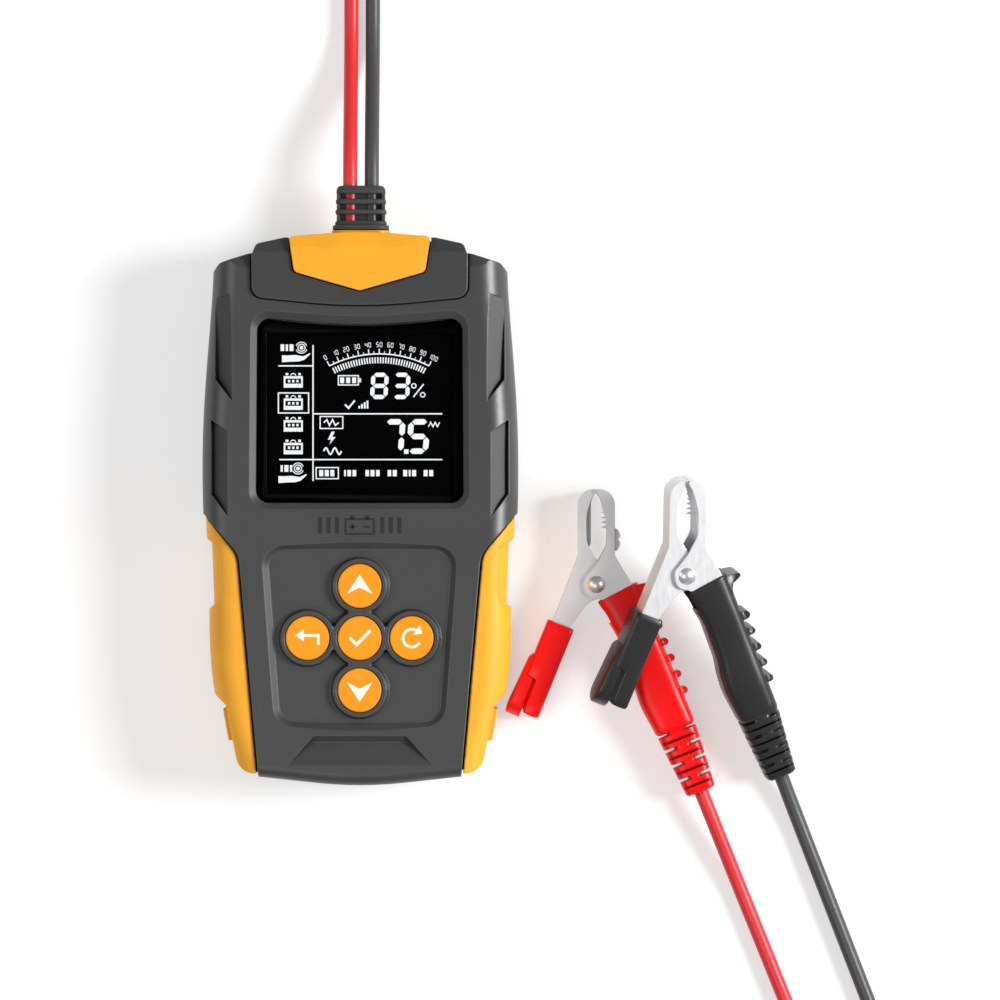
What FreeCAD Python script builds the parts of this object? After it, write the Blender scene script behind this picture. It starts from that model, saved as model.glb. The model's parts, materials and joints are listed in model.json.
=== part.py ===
"""Handheld battery tester with a twin lead and two spring clamps, modelled in millimetres.

Frame: the tester lies on its back. The origin is the centre of the flat back face, +X is to the
user's right, +Y runs towards the lead outlet and +Z comes out of the screen.
"""

import FreeCAD
import Part
import math
import os

Vector = FreeCAD.Vector

# ---------------------------------------------------------------- driving dimensions (mm)
BODY_THICKNESS = 24.0
PARTING_Z = 12.0            # where the front and rear shells meet
WALL = 2.0
FRONT_EDGE_RADIUS = 7.0     # rounding between the face and the sides
BACK_EDGE_RADIUS = 4.5
BACK_SKIM = 0.05            # planed off the back so that it is truly flat
TOP_Y = 57.5                # top end of the shells, before the guard
BOTTOM_Y = -62.5            # lowest point of the curved bottom end
# half-width of the housing at stations along Y, grips included
BODY_STATIONS = ((-66, 27.8), (-54, 30.4), (-40, 33.7), (-22, 34.7), (3, 35.6), (28, 35.0), (62, 33.2))
GRIP_THICKNESS = 2.0
GRIP_STEP = 0.6             # the grips lie this far below the dark face
GRIP_BACK_Z = 3.0
SCOOP_DEPTH = 1.1           # finger scoop in the grip
BAR_HEIGHT = 1.1            # finger bar on the grip
GROOVE = 0.35               # open line round the grips, the guard and the badge
END_ROUND = 2.6             # rounding of the front edge at the two ends

KEY_PITCH = 11.7
KEY_CENTRE_Y = -28.9
KEY_DIAMETER = 10.1
KEY_TOP_Z = 24.15
KEYPAD_FLOOR_Z = 22.9
KEY_RING_RADIUS = 6.3
KEY_RING_TOP_Z = 24.3

LENS_TOP_Z = 22.9
LENS_THICKNESS = 1.5

GUARD_TOP_Z = 24.7          # raised dark plate at the lead end
BADGE_TOP_Z = 25.3          # orange plate let into the guard
OUTLET_Z = 12.0             # height of the lead outlet

LEAD_RADIUS = 1.65
LEAD_SPACING = 4.9          # between the two leads at the outlet
LEAD_REST_Z = 1.75          # centre height of a lead that lies on the table
LEAD_BEND = 30.0            # bend radius between the two leads at the far end of their loop
SLIP = 0.05                 # gap between pieces that touch
PIVOT_CLEARANCE = 0.05      # between the rivet and the jaw that turns on it

# ---------------------------------------------------------------- shape helpers


def corner_wire(corners, z=0.0):
    """Closed wire through (x, y, radius) corners at height z; a radius of 0 keeps a corner sharp."""
    count = len(corners)
    starts, ends, mids = [], [], []
    for i, (x, y, r) in enumerate(corners):
        here = Vector(x, y, z)
        before = Vector(*corners[i - 1][:2], z) - here
        after = Vector(*corners[(i + 1) % count][:2], z) - here
        before.normalize()
        after.normalize()
        half = before.getAngle(after) / 2
        if r <= 0 or abs(half - math.pi / 2) < 1e-4:
            starts.append(here)
            ends.append(here)
            mids.append(None)
            continue
        reach = r / math.tan(half)
        centre_way = (before + after).normalize()
        starts.append(here + before * reach)
        ends.append(here + after * reach)
        mids.append(here + centre_way * (r / math.sin(half) - r))
    edges = []
    for i in range(count):
        if mids[i] is not None:
            edges.append(Part.Arc(starts[i], mids[i], ends[i]).toShape())
        target = starts[(i + 1) % count]
        if (target - ends[i]).Length > 1e-6:
            edges.append(Part.makeLine(ends[i], target))
    return Part.Wire(edges)


def prism(corners, z0, z1):
    """Upright solid with the given corner outline."""
    return Part.Face(corner_wire(corners, z0)).extrude(Vector(0, 0, z1 - z0))


def mirrored(right_half):
    """Closed corner list from the right half of an outline, listed from top to bottom."""
    left = [(-x, y, r) for x, y, r in reversed(right_half) if abs(x) > 1e-9]
    return list(right_half) + left


def mirror_x(shape):
    return shape.mirror(Vector(0, 0, 0), Vector(1, 0, 0))


def box(x0, x1, y0, y1, z0, z1):
    return Part.makeBox(x1 - x0, y1 - y0, z1 - z0, Vector(x0, y0, z0))


def cylinder(x, y, z0, z1, radius):
    return Part.makeCylinder(radius, z1 - z0, Vector(x, y, z0))


def tapered(lower, z0, upper, z1):
    """Solid between two outlines with the same corners, so its walls slope."""
    return Part.makeLoft([corner_wire(lower, z0), corner_wire(upper, z1)], True, True)


def profile_along_y(points, y0, y1):
    """Solid with an (x, z) polygon as its section, running along Y."""
    loop = [Vector(x, y0, z) for x, z in points]
    return Part.Face(Part.makePolygon(loop + loop[:1])).extrude(Vector(0, y1 - y0, 0))


def profile_along_x(points, x0, x1):
    """Solid with a (y, z) polygon as its section, running along X."""
    loop = [Vector(x0, y, z) for y, z in points]
    return Part.Face(Part.makePolygon(loop + loop[:1])).extrude(Vector(x1 - x0, 0, 0))


def fuse_all(shapes):
    return shapes[0].multiFuse(shapes[1:]).removeSplitter() if len(shapes) > 1 else shapes[0]


def save(name, *shapes):
    """Writes one node: its solids are kept separate."""
    solids = [s for shape in shapes for s in shape.Solids]
    shape = solids[0] if len(solids) == 1 else Part.makeCompound(solids)
    shape.exportStep("parts/" + name + ".step")


# ---------------------------------------------------------------- housing envelope


def body_section(y, inset, inset_z):
    """Rounded cross-section of the housing at Y, moved inwards at its sides and at its two faces."""
    half = dict(BODY_STATIONS)[y] - inset
    z0, z1 = inset_z - BACK_SKIM, BODY_THICKNESS - inset_z
    rf, rb = FRONT_EDGE_RADIUS - inset, max(BACK_EDGE_RADIUS - inset, 1.0)
    wire = corner_wire([(half, z1, rf), (half, z0, rb), (-half, z0, rb), (-half, z1, rf)])
    wire.rotate(Vector(0, 0, 0), Vector(1, 0, 0), 90)
    wire.translate(Vector(0, y, 0))
    return wire


def envelope(inset, inset_z):
    return Part.makeLoft([body_section(y, inset, inset_z) for y, _ in BODY_STATIONS], True, False)


def housing_outline(inset=0.0):
    """Plan outline that trims the two ends of the envelope."""
    top, low = TOP_Y - inset, BOTTOM_Y + inset
    return mirrored([
        (0, top + 2.2, 250), (25.0, top, 3), (31.6 - inset, top - 2.1, 1.5),
        (34.1 - inset, top - 5.2, 2), (40, 0, 0), (40, -35.2, 0), (30.7 - inset, -44.1, 1.5),
        (28.9 - inset, -54.0, 0), (27.9 - inset, low + 2.9, 4.0), (0, low - 0.1, 90),
    ])


def front_face_outline(edge=0.0, top=70.0):
    """The dark front: full width above, then stepped in past the diagonals to clear the grips."""
    return mirrored([
        (40, top, 0), (40, 2.6 - edge, 0), (34.9 - edge, -1.4 - edge, 2.0),
        (27.2 - edge, -10.2, 6.0), (22.7 - edge, -61.0, 0), (22.6 - edge, -70, 0),
    ])


def trimmed(inset=0.0, inset_z=None):
    """Housing shape shrunk by inset; its faces move in by inset_z, or by the same amount."""
    outline = prism(housing_outline(inset), -5, BODY_THICKNESS + 5)
    return envelope(inset, inset if inset_z is None else inset_z).common(outline)


def rounded_housing():
    """The outer housing: its front edge is rolled over at the bottom and bevelled at the lead end."""
    housing = trimmed()
    face_edges = [e for e in housing.Edges if e.BoundBox.ZMin > BODY_THICKNESS - 0.01]
    housing = housing.makeFillet(END_ROUND, [e for e in face_edges if e.BoundBox.YMax < BOTTOM_Y + 4])
    housing = housing.cut(box(-60, 60, -90, 90, -5, 0))
    return housing.cut(sloped_end(54.4, BODY_THICKNESS, 1.6, TOP_Y + 0.6))


# ---------------------------------------------------------------- outlines on the front face

WINDOW = mirrored([(0, 41.2, 120), (23.1, 43.2, 3.0), (23.4, 1.4, 3.0)])
WINDOW_RIM = mirrored([(0, 43.1, 120), (24.4, 45.0, 4.2), (24.8, -0.1, 4.2)])
KEYPAD_RIM = mirrored([(0, -7.1, 150), (22.2, -8.3, 5.0), (19.1, -48.6, 5.0), (0, -50.2, 110)])
KEYPAD_FLOOR = mirrored([(0, -8.9, 250), (20.8, -9.0, 4.0), (17.9, -47.7, 4.0), (0, -47.9, 250)])
GUARD = mirrored([(0, 61.3, 400), (17.0, 61.1, 1.0), (23.3, 59.7, 1.5), (24.3, 57.0, 1.0),
                  (24.2, 47.7, 2.6), (0, 45.3, 120)])
BADGE = mirrored([(0, 62.6, 90), (15.9, 61.3, 1.0), (14.7, 53.3, 1.4), (0, 49.1, 1.2)])


def grown(corners, by):
    """The outline pushed outwards by a small gap."""
    wire = corner_wire(corners)
    return wire.makeOffset2D(by, 0, False, False, True)


def grown_prism(corners, by, z0, z1):
    face = Part.Face(grown(corners, by))
    face.translate(Vector(0, 0, z0))
    return face.extrude(Vector(0, 0, z1 - z0))


KEYS = {
    "esc": (-KEY_PITCH, KEY_CENTRE_Y),
    "enter": (0.0, KEY_CENTRE_Y),
    "reset": (KEY_PITCH, KEY_CENTRE_Y),
    "up": (0.0, KEY_CENTRE_Y + KEY_PITCH),
    "down": (0.0, KEY_CENTRE_Y - KEY_PITCH),
}
CASE_SCREWS = [(27.6, 47.0), (-27.6, 47.0), (16.5, -53.0), (-16.5, -53.0)]
BOARD_SCREWS = [(21.5, 46.5), (-21.5, 46.5), (19.0, -46.0), (-19.0, -46.0)]
BOARD_Z0, BOARD_Z1 = 12.9, 14.5
END_WALL_ROOM = box(-24.5, 24.5, 58.2, 70, 1.45, 30)
CLIP_PINS = [(7.2, 51.0), (-7.2, 51.0)]
CLIP_Z0, CLIP_Z1 = 13.7, 15.3


def side_scoop(shift, corners):
    """Finger recess in the rounded edge of the dark front: a sloped floor inside a narrow outer rim."""
    section = [(29.6, 30), (29.6, 23.8), (33.4, 20.8), (33.7, 30)]
    section = [(x - shift, z) for x, z in section]
    tool = profile_along_y(section, -10, 60).common(prism(corners, 10, 30))
    return [tool, mirror_x(tool)]


def shell_cavity():
    low = prism(mirrored([(31.0, 54.0, 3), (32.4, 4, 2), (30.2, -8, 3), (28.8, -40, 4),
                          (24.6, -57.0, 5)]), WALL, 18.0)
    high = prism(mirrored([(29.6, 54.0, 3), (29.6, 3, 2), (23.8, -10, 3), (20.4, -57.0, 4)]),
                 17.9, BODY_THICKNESS - WALL)
    return low.fuse(high)


def grip_scoop():
    """Plan area of the finger scoop in the right grip."""
    return prism([(45, -2.5, 0), (36.5, -5.6, 0), (31.2, -8.6, 0.6), (31.2, -20.2, 0.6),
                  (36.5, -24.2, 0), (45, -27, 0)], -2, 30)


def housing_without_grips():
    """The closed housing, cut back where the grips wrap round the lower sides.

    The rim behind the grips is cut back too, so that it lies flush with them.
    """
    outer = rounded_housing()
    skin = outer.cut(trimmed(GRIP_THICKNESS + GRIP_STEP))
    outside_front = box(-60, 60, -90, 10, GRIP_BACK_Z, 40).cut(prism(front_face_outline(), 0, 50))
    back_rim = box(-60, 60, -90, 10, -5, GRIP_BACK_Z).cut(prism(front_face_outline(), -10, 50))
    scoop = grip_scoop().cut(trimmed(GRIP_STEP + SCOOP_DEPTH, 0.0)).common(back_rim)
    cuts = [skin.common(outside_front), back_rim.cut(trimmed(GRIP_STEP, 0.0)), scoop, mirror_x(scoop)]
    return outer.cut(Part.makeCompound(cuts[:2])).cut(Part.makeCompound(cuts[2:]))


def front_shell(housing):
    shell = housing.common(box(-60, 60, -90, 90, PARTING_Z, 40))
    shell = shell.cut(shell_cavity())
    window_frame = prism(mirrored([(26.0, 46.2, 2), (26.0, -1.4, 2)]), 20.2, BODY_THICKNESS - 1)
    bosses = [cylinder(x, y, PARTING_Z, 22.5, 3.4) for x, y in CASE_SCREWS]
    posts = [cylinder(x, y, BOARD_Z1 + SLIP, 22.5, 2.4) for x, y in BOARD_SCREWS]
    shell = shell.multiFuse([window_frame] + bosses + posts)
    holes = [cylinder(x, y, PARTING_Z - 1, 20.5, 1.25) for x, y in CASE_SCREWS]
    holes += [cylinder(x, y, BOARD_Z1 - 1, 20.5, 0.9) for x, y in BOARD_SCREWS]
    seat_z = LENS_TOP_Z - LENS_THICKNESS
    cuts = [
        tapered(WINDOW, LENS_TOP_Z, WINDOW_RIM, BODY_THICKNESS),
        prism(WINDOW, seat_z - SLIP, LENS_TOP_Z),
        prism(WINDOW_RIM, BODY_THICKNESS, BODY_THICKNESS + 3),
        prism(mirrored([(21.2, 40.0, 1.0), (21.2, 3.2, 1.0)]), 15, seat_z + 1),
        tapered(KEYPAD_FLOOR, KEYPAD_FLOOR_Z, KEYPAD_RIM, BODY_THICKNESS),
        grown_prism(GUARD, GROOVE, 22.55, 30),
        END_WALL_ROOM,
        thumb_notch(),
    ]
    cuts += side_scoop(0.9, [(36, 46.5, 0), (27.5, 49.0, 0), (27.5, 22.8, 0), (36, 33.8, 0)])
    cuts += side_scoop(0.0, [(36, 22.0, 0), (27.5, 16.0, 0), (27.5, -4.4, 0), (36, 6.9, 0)])
    shell = shell.cut(Part.makeCompound(cuts + holes))
    shell = shell.fuse(fuse_all([key_ring(x, y) for x, y in KEYS.values()] + ring_bridges()))
    wells = [cylinder(x, y, 15, 30, KEY_DIAMETER / 2 + 0.12) for x, y in KEYS.values()]
    flange_room = [cylinder(x, y, 15, 22.0, 5.9) for x, y in KEYS.values()]
    shell = shell.cut(Part.makeCompound(wells + flange_room))
    return shell.cut(outlet_channel()).removeSplitter()


def key_ring(x, y):
    """Raised ring round one key, with a sloped outer side."""
    base_z = KEYPAD_FLOOR_Z - 0.5
    height = KEY_RING_TOP_Z - base_z
    return Part.makeCone(KEY_RING_RADIUS + 0.55, KEY_RING_RADIUS - 0.3, height, Vector(x, y, base_z))


def ring_bridges():
    """Webs that join the five key rings into one raised cross."""
    half = 2.6
    x0, x1 = -KEY_PITCH, KEY_PITCH
    across = box(x0, x1, KEY_CENTRE_Y - half, KEY_CENTRE_Y + half, KEYPAD_FLOOR_Z - 0.5, KEY_RING_TOP_Z - 0.15)
    down = box(-half, half, KEY_CENTRE_Y + x0, KEY_CENTRE_Y + x1, KEYPAD_FLOOR_Z - 0.5, KEY_RING_TOP_Z - 0.15)
    return [across, down]


def thumb_notch():
    """Shallow ramp below the keypad: deepest at its top edge, running out at the bottom."""
    depth = 1.3
    top_y, low_y = -50.9, -57.4
    section = [(top_y, BODY_THICKNESS + 2), (top_y, BODY_THICKNESS - 0.15),
               (top_y - 1.4, BODY_THICKNESS - depth), (low_y, BODY_THICKNESS), (low_y, BODY_THICKNESS + 2)]
    outline = mirrored([(10.4, top_y, 0.8), (16.2, low_y, 0)])
    return profile_along_x(section, -20, 20).common(prism(outline, 20, 30))


def outlet_channel():
    """Hole in the top end for the neck of the lead grommet."""
    return prism_y(5.5, 4.0, 2.0, 50, 70)


def prism_y(half_x, half_z, radius, y0, y1, z=OUTLET_Z, x=0.0):
    """Rounded bar along Y, centred on the lead outlet."""
    wire = corner_wire([(half_x, half_z, radius), (half_x, -half_z, radius),
                        (-half_x, -half_z, radius), (-half_x, half_z, radius)])
    wire.rotate(Vector(0, 0, 0), Vector(1, 0, 0), 90)
    wire.translate(Vector(x, y0, z))
    return Part.Face(wire).extrude(Vector(0, y1 - y0, 0))


def rear_shell(housing):
    shell = housing.common(box(-60, 60, -90, 90, -5, PARTING_Z))
    shell = shell.cut(shell_cavity())
    towers = [cylinder(x, y, WALL - 1, PARTING_Z, 3.4) for x, y in CASE_SCREWS]
    for x, y in CLIP_PINS:
        towers.append(cylinder(x, y, WALL - 1, CLIP_Z0 - SLIP, 1.55))
        towers.append(cylinder(x, y, WALL, CLIP_Z1, 0.95))
    shell = shell.multiFuse(towers)
    cuts = [END_WALL_ROOM, outlet_channel()]
    cuts += [cylinder(x, y, -1, 4.0, 3.1) for x, y in CASE_SCREWS]
    cuts += [cylinder(x, y, -1, 20, 1.65) for x, y in CASE_SCREWS]
    label_recess = mirrored([(20, 38, 2.0), (20, 8, 2.0)])
    cuts.append(prism(label_recess, -1, 0.4))
    cuts += [box(-15, 15, y - 0.6, y + 0.6, -1, 0.6) for y in (-18, -22, -26, -30, -34)]
    return shell.cut(Part.makeCompound(cuts)).removeSplitter()


def right_grip():
    """Soft side grip: a C-shaped skin over the lower side, with a finger scoop and a finger bar."""
    skin = trimmed(GRIP_STEP).cut(trimmed(GRIP_THICKNESS + GRIP_STEP - SLIP))
    front = prism(front_face_outline(-GROOVE), 0, 50)
    sides = box(0, 60, -90, 10, GRIP_BACK_Z + SLIP, 40).cut(front)
    grip = skin.common(sides)
    grip = grip.cut(grip_scoop().cut(trimmed(GRIP_STEP + SCOOP_DEPTH)))
    bar = prism([(45, -45.0, 0), (26, -45.0, 0), (26, -51.4, 0), (45, -55.4, 0)], GRIP_BACK_Z + 2, 18.0)
    bar = bar.common(trimmed(GRIP_STEP - BAR_HEIGHT)).cut(trimmed(GRIP_STEP + 0.2))
    grip = grip.fuse(bar).removeSplitter()
    return max(grip.Solids, key=lambda s: s.Volume)


# ---------------------------------------------------------------- lead end of the housing


def sloped_end(y_start, z_start, drop, y_end):
    """Wedge that bevels the front edge of the guard or badge down towards the end."""
    return profile_along_x([(y_start, z_start), (y_end, z_start - drop), (y_end, z_start + 5),
                            (y_start, z_start + 5)], -40, 40)


def top_guard():
    plate = prism(GUARD, 22.6, GUARD_TOP_Z)
    end_wall = prism(GUARD, 1.5, GUARD_TOP_Z).common(box(-40, 40, 58.25, 70, 0, 30))
    guard = plate.fuse(end_wall)
    guard = guard.cut(grown_prism(BADGE, GROOVE, 23.45, 30))
    guard = guard.cut(box(-16.05, 16.05, 60.2, 70, 0, 30))
    guard = guard.cut(sloped_end(57.7, GUARD_TOP_Z, 2.6, 62.0))
    return guard.cut(outlet_channel()).removeSplitter()


def top_badge():
    tab = prism(BADGE, 23.5, BADGE_TOP_Z)
    end_plate = prism(mirrored([(15.9, 70, 0), (15.9, 60.25, 0)]), 3.0, BADGE_TOP_Z)
    end_plate = end_plate.common(prism(BADGE, 0, 30))
    badge = tab.fuse(end_plate).cut(sloped_end(58.8, BADGE_TOP_Z, 2.2, 63.0))
    collar = prism_y(6.6, 5.2, 3.0, 61.6, 63.0)
    badge = badge.fuse(collar).cut(outlet_channel())
    return badge.removeSplitter()


def cable_grommet():
    """Rubber strain relief: flange inside, neck through the end walls, slotted sleeve outside."""
    flange = prism_y(8.4, 6.6, 2.5, 52.65, 53.95)
    neck = prism_y(5.45, 3.95, 2.0, 53.9, 63.1)
    base = prism_y(6.4, 4.9, 2.6, 63.05, 64.3)
    sleeve = prism_y(5.75, 4.3, 2.4, 64.2, 73.1)
    body = fuse_all([flange, neck, base, sleeve])
    for y in (65.4, 67.8, 70.2):
        band = prism_y(20, 20, 1.0, y, y + 1.3)
        body = body.cut(band.cut(prism_y(5.3, 3.9, 2.0, y, y + 1.3)))
        body = body.cut(prism_y(4.6, 20, 0.2, y, y + 1.3))
    for x in (-LEAD_SPACING / 2, LEAD_SPACING / 2):
        body = body.cut(Part.makeCylinder(LEAD_RADIUS + 0.03, 30, Vector(x, 50, OUTLET_Z), Vector(0, 1, 0)))
    return body.removeSplitter()


# ---------------------------------------------------------------- keys and electronics


def key_cap(x, y):
    cap = cylinder(x, y, 21.0, KEY_TOP_Z, KEY_DIAMETER / 2)
    top = [e for e in cap.Edges if abs(e.BoundBox.ZMin - KEY_TOP_Z) < 1e-3]
    cap = cap.makeFillet(0.45, top)
    flange = cylinder(x, y, 20.9, 21.95, 5.75)
    post = cylinder(x, y, 18.3, 21.0, 1.7)
    return fuse_all([cap, flange, post])


def switch_parts(x, y):
    """Tactile switch body with a bore, and the stem that rides in it."""
    body = box(x - 3, x + 3, y - 3, y + 3, BOARD_Z1, 17.6).cut(cylinder(x, y, 16.2, 18, 1.8))
    stem = cylinder(x, y, 17.1, 18.3, 1.7)
    return body, stem


def main_board():
    lead_notch = [(0, 43.2, 0), (10.0, 43.2, 1), (10.0, 50.5, 1)]
    outline = mirrored(lead_notch + [(23.7, 50.5, 1), (23.7, 43.5, 0), (29.3, 41.0, 1), (29.3, 2, 1),
                                     (22.6, -8, 1), (22.2, -49.0, 1)])
    board = prism(outline, BOARD_Z0, BOARD_Z1)
    return board.cut(Part.makeCompound([cylinder(x, y, 10, 16, 1.2) for x, y in BOARD_SCREWS]))


def electronics():
    save("main_board", main_board())
    save("screen_panel", box(-21.0, 21.0, 3.4, 39.8, 17.9, 20.1))
    frame = box(-24.0, 24.0, 0.6, 42.4, BOARD_Z1, 20.1)
    window = box(-21.05, 21.05, 3.35, 39.85, 17.9, 21)
    light_room = box(-20.05, 20.05, 4.35, 38.85, BOARD_Z1 - 1, 18)
    save("screen_holder", frame.cut(window).cut(light_room))
    save("backlight", box(-20.0, 20.0, 4.4, 38.8, 15.2, 17.85))
    save("load_resistors", *[box(x - 5, x + 5, -8, 30, 4.0, BOARD_Z0) for x in (-12, 12)])
    chips = [box(-6, 6, -38, -26, 11.5, BOARD_Z0), box(8, 16, -22, -14, 11.7, BOARD_Z0),
             box(-16, -9, -20, -14, 11.7, BOARD_Z0)]
    save("board_chips", *chips)
    buzzer = cylinder(-13, -39, 5.6, BOARD_Z0, 5.5).cut(cylinder(-13, -39, 5, 6.6, 1.0))
    save("buzzer", buzzer)
    save("board_screws", *[small_screw(x, y, BOARD_Z0, 0.85, 1.9, 1.3, 5.0) for x, y in BOARD_SCREWS])
    save("case_screws", *[small_screw(x, y, 4.0, 1.2, 2.7, 2.0, 13.0) for x, y in CASE_SCREWS])


def small_screw(x, y, seat_z, shaft_radius, head_radius, head_height, length):
    """Pan-head screw driven from the back, with a cross recess."""
    head = cylinder(x, y, seat_z - head_height, seat_z, head_radius)
    low = [e for e in head.Edges if e.BoundBox.ZMax < seat_z - head_height + 1e-3]
    head = head.makeFillet(0.4, low)
    shaft = cylinder(x, y, seat_z - 0.2, seat_z + length, shaft_radius)
    arm, width = head_radius * 0.6, head_radius * 0.13
    z0 = seat_z - head_height - 1
    z1 = seat_z - head_height * 0.4
    cross = [box(x - arm, x + arm, y - width, y + width, z0, z1),
             box(x - width, x + width, y - arm, y + arm, z0, z1)]
    return head.fuse(shaft).cut(Part.makeCompound(cross)).removeSplitter()


def cable_clip():
    """Plastic bar inside the housing, staked on two pins, that holds both leads down."""
    clip = prism([(x, y, 1.2) for x, y in ((9.6, 52.5), (9.6, 49.5), (-9.6, 49.5), (-9.6, 52.5))],
                 CLIP_Z0, CLIP_Z1)
    return clip.cut(Part.makeCompound([cylinder(x, y, 10, 20, 1.0) for x, y in CLIP_PINS]))


# ---------------------------------------------------------------- clamps, in their own flat frame
# The rivet is at the origin, the jaws point along +Y and the handle runs down to the right.

HANDLE_ANGLE = 22.0                       # of the handle and lever from the jaws' line, degrees
HANDLE_WAY = (math.sin(math.radians(HANDLE_ANGLE)), -math.cos(math.radians(HANDLE_ANGLE)))
HANDLE_SIDE = (-HANDLE_WAY[1], HANDLE_WAY[0])
HANDLE_OFFSET = 4.5                       # of the handle's centre line from the rivet
HANDLE_START, HANDLE_END = 3.6, 35.0      # along the handle
RELIEF_END = 51.0                         # end of the ribbed strain relief
JAW_LENGTH = 21.7
SHEET = 0.8
FIXED_HALF = 4.2                          # half-width of the outer channel
MOVING_HALF = 3.3                         # half-width of the inner channel
BOOT_HALF = 5.0
CAP_HALF = 4.2
RIVET_RADIUS = 1.5
TAIL_END = 22.0


def on_handle(s, n):
    """Point s along the handle and n to its right."""
    side = HANDLE_OFFSET + n
    return (HANDLE_WAY[0] * s + HANDLE_SIDE[0] * side, HANDLE_WAY[1] * s + HANDLE_SIDE[1] * side)


def on_lever(s, n):
    """Point s along the lever and n to its right; the lever mirrors the handle's slope."""
    return (-HANDLE_WAY[0] * s + HANDLE_SIDE[0] * n, HANDLE_WAY[1] * s - HANDLE_SIDE[1] * n)


def with_radius(points):
    return [(p[0], p[1], r) for p, r in points]


FIXED_OUTLINE = with_radius([
    ((0.03, JAW_LENGTH), 0.3), ((4.2, JAW_LENGTH), 3.7), ((4.2, 6.6), 1.0),
    (on_handle(4.0, 3.2), 2.0), (on_handle(TAIL_END, 3.2), 0.5), (on_handle(TAIL_END, -3.4), 0.5),
    (on_handle(4.2, -4.0), 1.0), ((-2.3, -2.6), 2.2), ((-3.0, 0.9), 2.6), ((0.3, 5.2), 2.5),
    ((2.35, 8.9), 4.0), ((2.35, 14.6), 9.0), ((0.9, 19.6), 3.0), ((0.03, 20.9), 0.2),
])
MOVING_OUTLINE = with_radius([
    ((-0.03, JAW_LENGTH), 0.3), ((-0.03, 20.9), 0.2), ((-1.0, 19.8), 3.0), ((-2.4, 15.8), 9.0),
    ((-2.2, 9.4), 4.0), ((0.6, 4.9), 2.0), ((3.0, 1.4), 2.4), ((2.2, -2.9), 2.4),
    ((-1.6, -3.8), 5.0), (on_lever(11.0, -1.9), 4.0), (on_lever(30.4, -1.9), 0.5),
    (on_lever(30.4, -6.1), 0.5), (on_lever(8.0, -6.1), 3.0), ((-4.15, 6.6), 1.5),
    ((-4.15, JAW_LENGTH), 3.7),
])


def channel(outline, half, web_cut):
    """Sheet-metal channel: two plates joined by a web where web_cut doesn't reach."""
    solid = prism(outline, -half, half)
    inner = prism(web_cut, -(half - SHEET), half - SHEET)
    return solid.cut(inner)


def jaw_teeth(side, reach, z0, z1):
    """Row of small pointed teeth on the inner edge of one plate."""
    teeth = []
    for i in range(5):
        y = 12.6 + i * 1.1
        root = side * (2.9 if i < 4 else 2.4)
        teeth.append(prism([(root, y, 0), (root, y + 1.05, 0), (side * reach, y + 0.35, 0)], z0, z1))
    return teeth


def fixed_jaw():
    web_cut = with_radius([
        ((-6, JAW_LENGTH - SHEET), 0), ((4.2 - SHEET, JAW_LENGTH - SHEET), 3.1), ((4.2 - SHEET, 6.8), 1.0),
        (on_handle(4.2, 3.2 - SHEET), 2.0), (on_handle(TAIL_END + 3, 3.2 - SHEET), 0),
        (on_handle(TAIL_END + 3, -8), 0), ((-6, -6), 0),
    ])
    jaw = channel(FIXED_OUTLINE, FIXED_HALF, web_cut)
    jaw = jaw.multiFuse(jaw_teeth(1, 1.2, -FIXED_HALF, -FIXED_HALF + SHEET))
    ear = prism([(3.7, 13.2, 0), (5.0, 12.4, 0.4), (5.6, 10.9, 0.4), (5.0, 10.2, 0.2), (5.6, 9.4, 0.4),
                 (5.0, 7.9, 0.4), (3.7, 7.3, 0)], -1.6, 1.6)
    jaw = jaw.fuse(ear)
    hole = Part.makeCylinder(RIVET_RADIUS, 20, Vector(0, 0, -10))
    return jaw.cut(hole).removeSplitter()


def moving_jaw():
    web_cut = with_radius([
        ((6, JAW_LENGTH - SHEET), 0), ((6, -6), 0), (on_lever(33, 6), 0), (on_lever(33, -6.1 + SHEET), 0),
        (on_lever(8.2, -6.1 + SHEET), 2.5), ((-4.15 + SHEET, 6.7), 1.2),
        ((-4.15 + SHEET, JAW_LENGTH - SHEET), 3.1),
    ])
    jaw = channel(MOVING_OUTLINE, MOVING_HALF, web_cut)
    lower_lip = prism(with_radius([
        ((-3.0, 8.4), 0), ((-1.9, 7.5), 0.3), ((-1.15, 9.6), 1.0), ((-1.15, 18.6), 3.0), ((-0.3, 20.9), 0),
        ((-3.0, 18.6), 0),
    ]), -MOVING_HALF, -MOVING_HALF + SHEET)
    jaw = jaw.fuse(lower_lip)
    hole = Part.makeCylinder(RIVET_RADIUS + PIVOT_CLEARANCE, 20, Vector(0, 0, -10))
    return jaw.cut(hole).removeSplitter()


def rivet():
    """Domed rivet through both channels."""
    shaft = Part.makeCylinder(RIVET_RADIUS, 2 * FIXED_HALF, Vector(0, 0, -FIXED_HALF))
    dome_radius, head_radius, head_height = 2.7, 1.95, 0.85
    heads = []
    for way in (1, -1):
        centre = Vector(0, 0, way * (FIXED_HALF + head_height - dome_radius))
        ball = Part.makeSphere(dome_radius, centre)
        slab = Part.makeCylinder(head_radius, head_height, Vector(0, 0, way * FIXED_HALF), Vector(0, 0, way))
        heads.append(ball.common(slab))
    return shaft.multiFuse(heads).removeSplitter()


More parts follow.
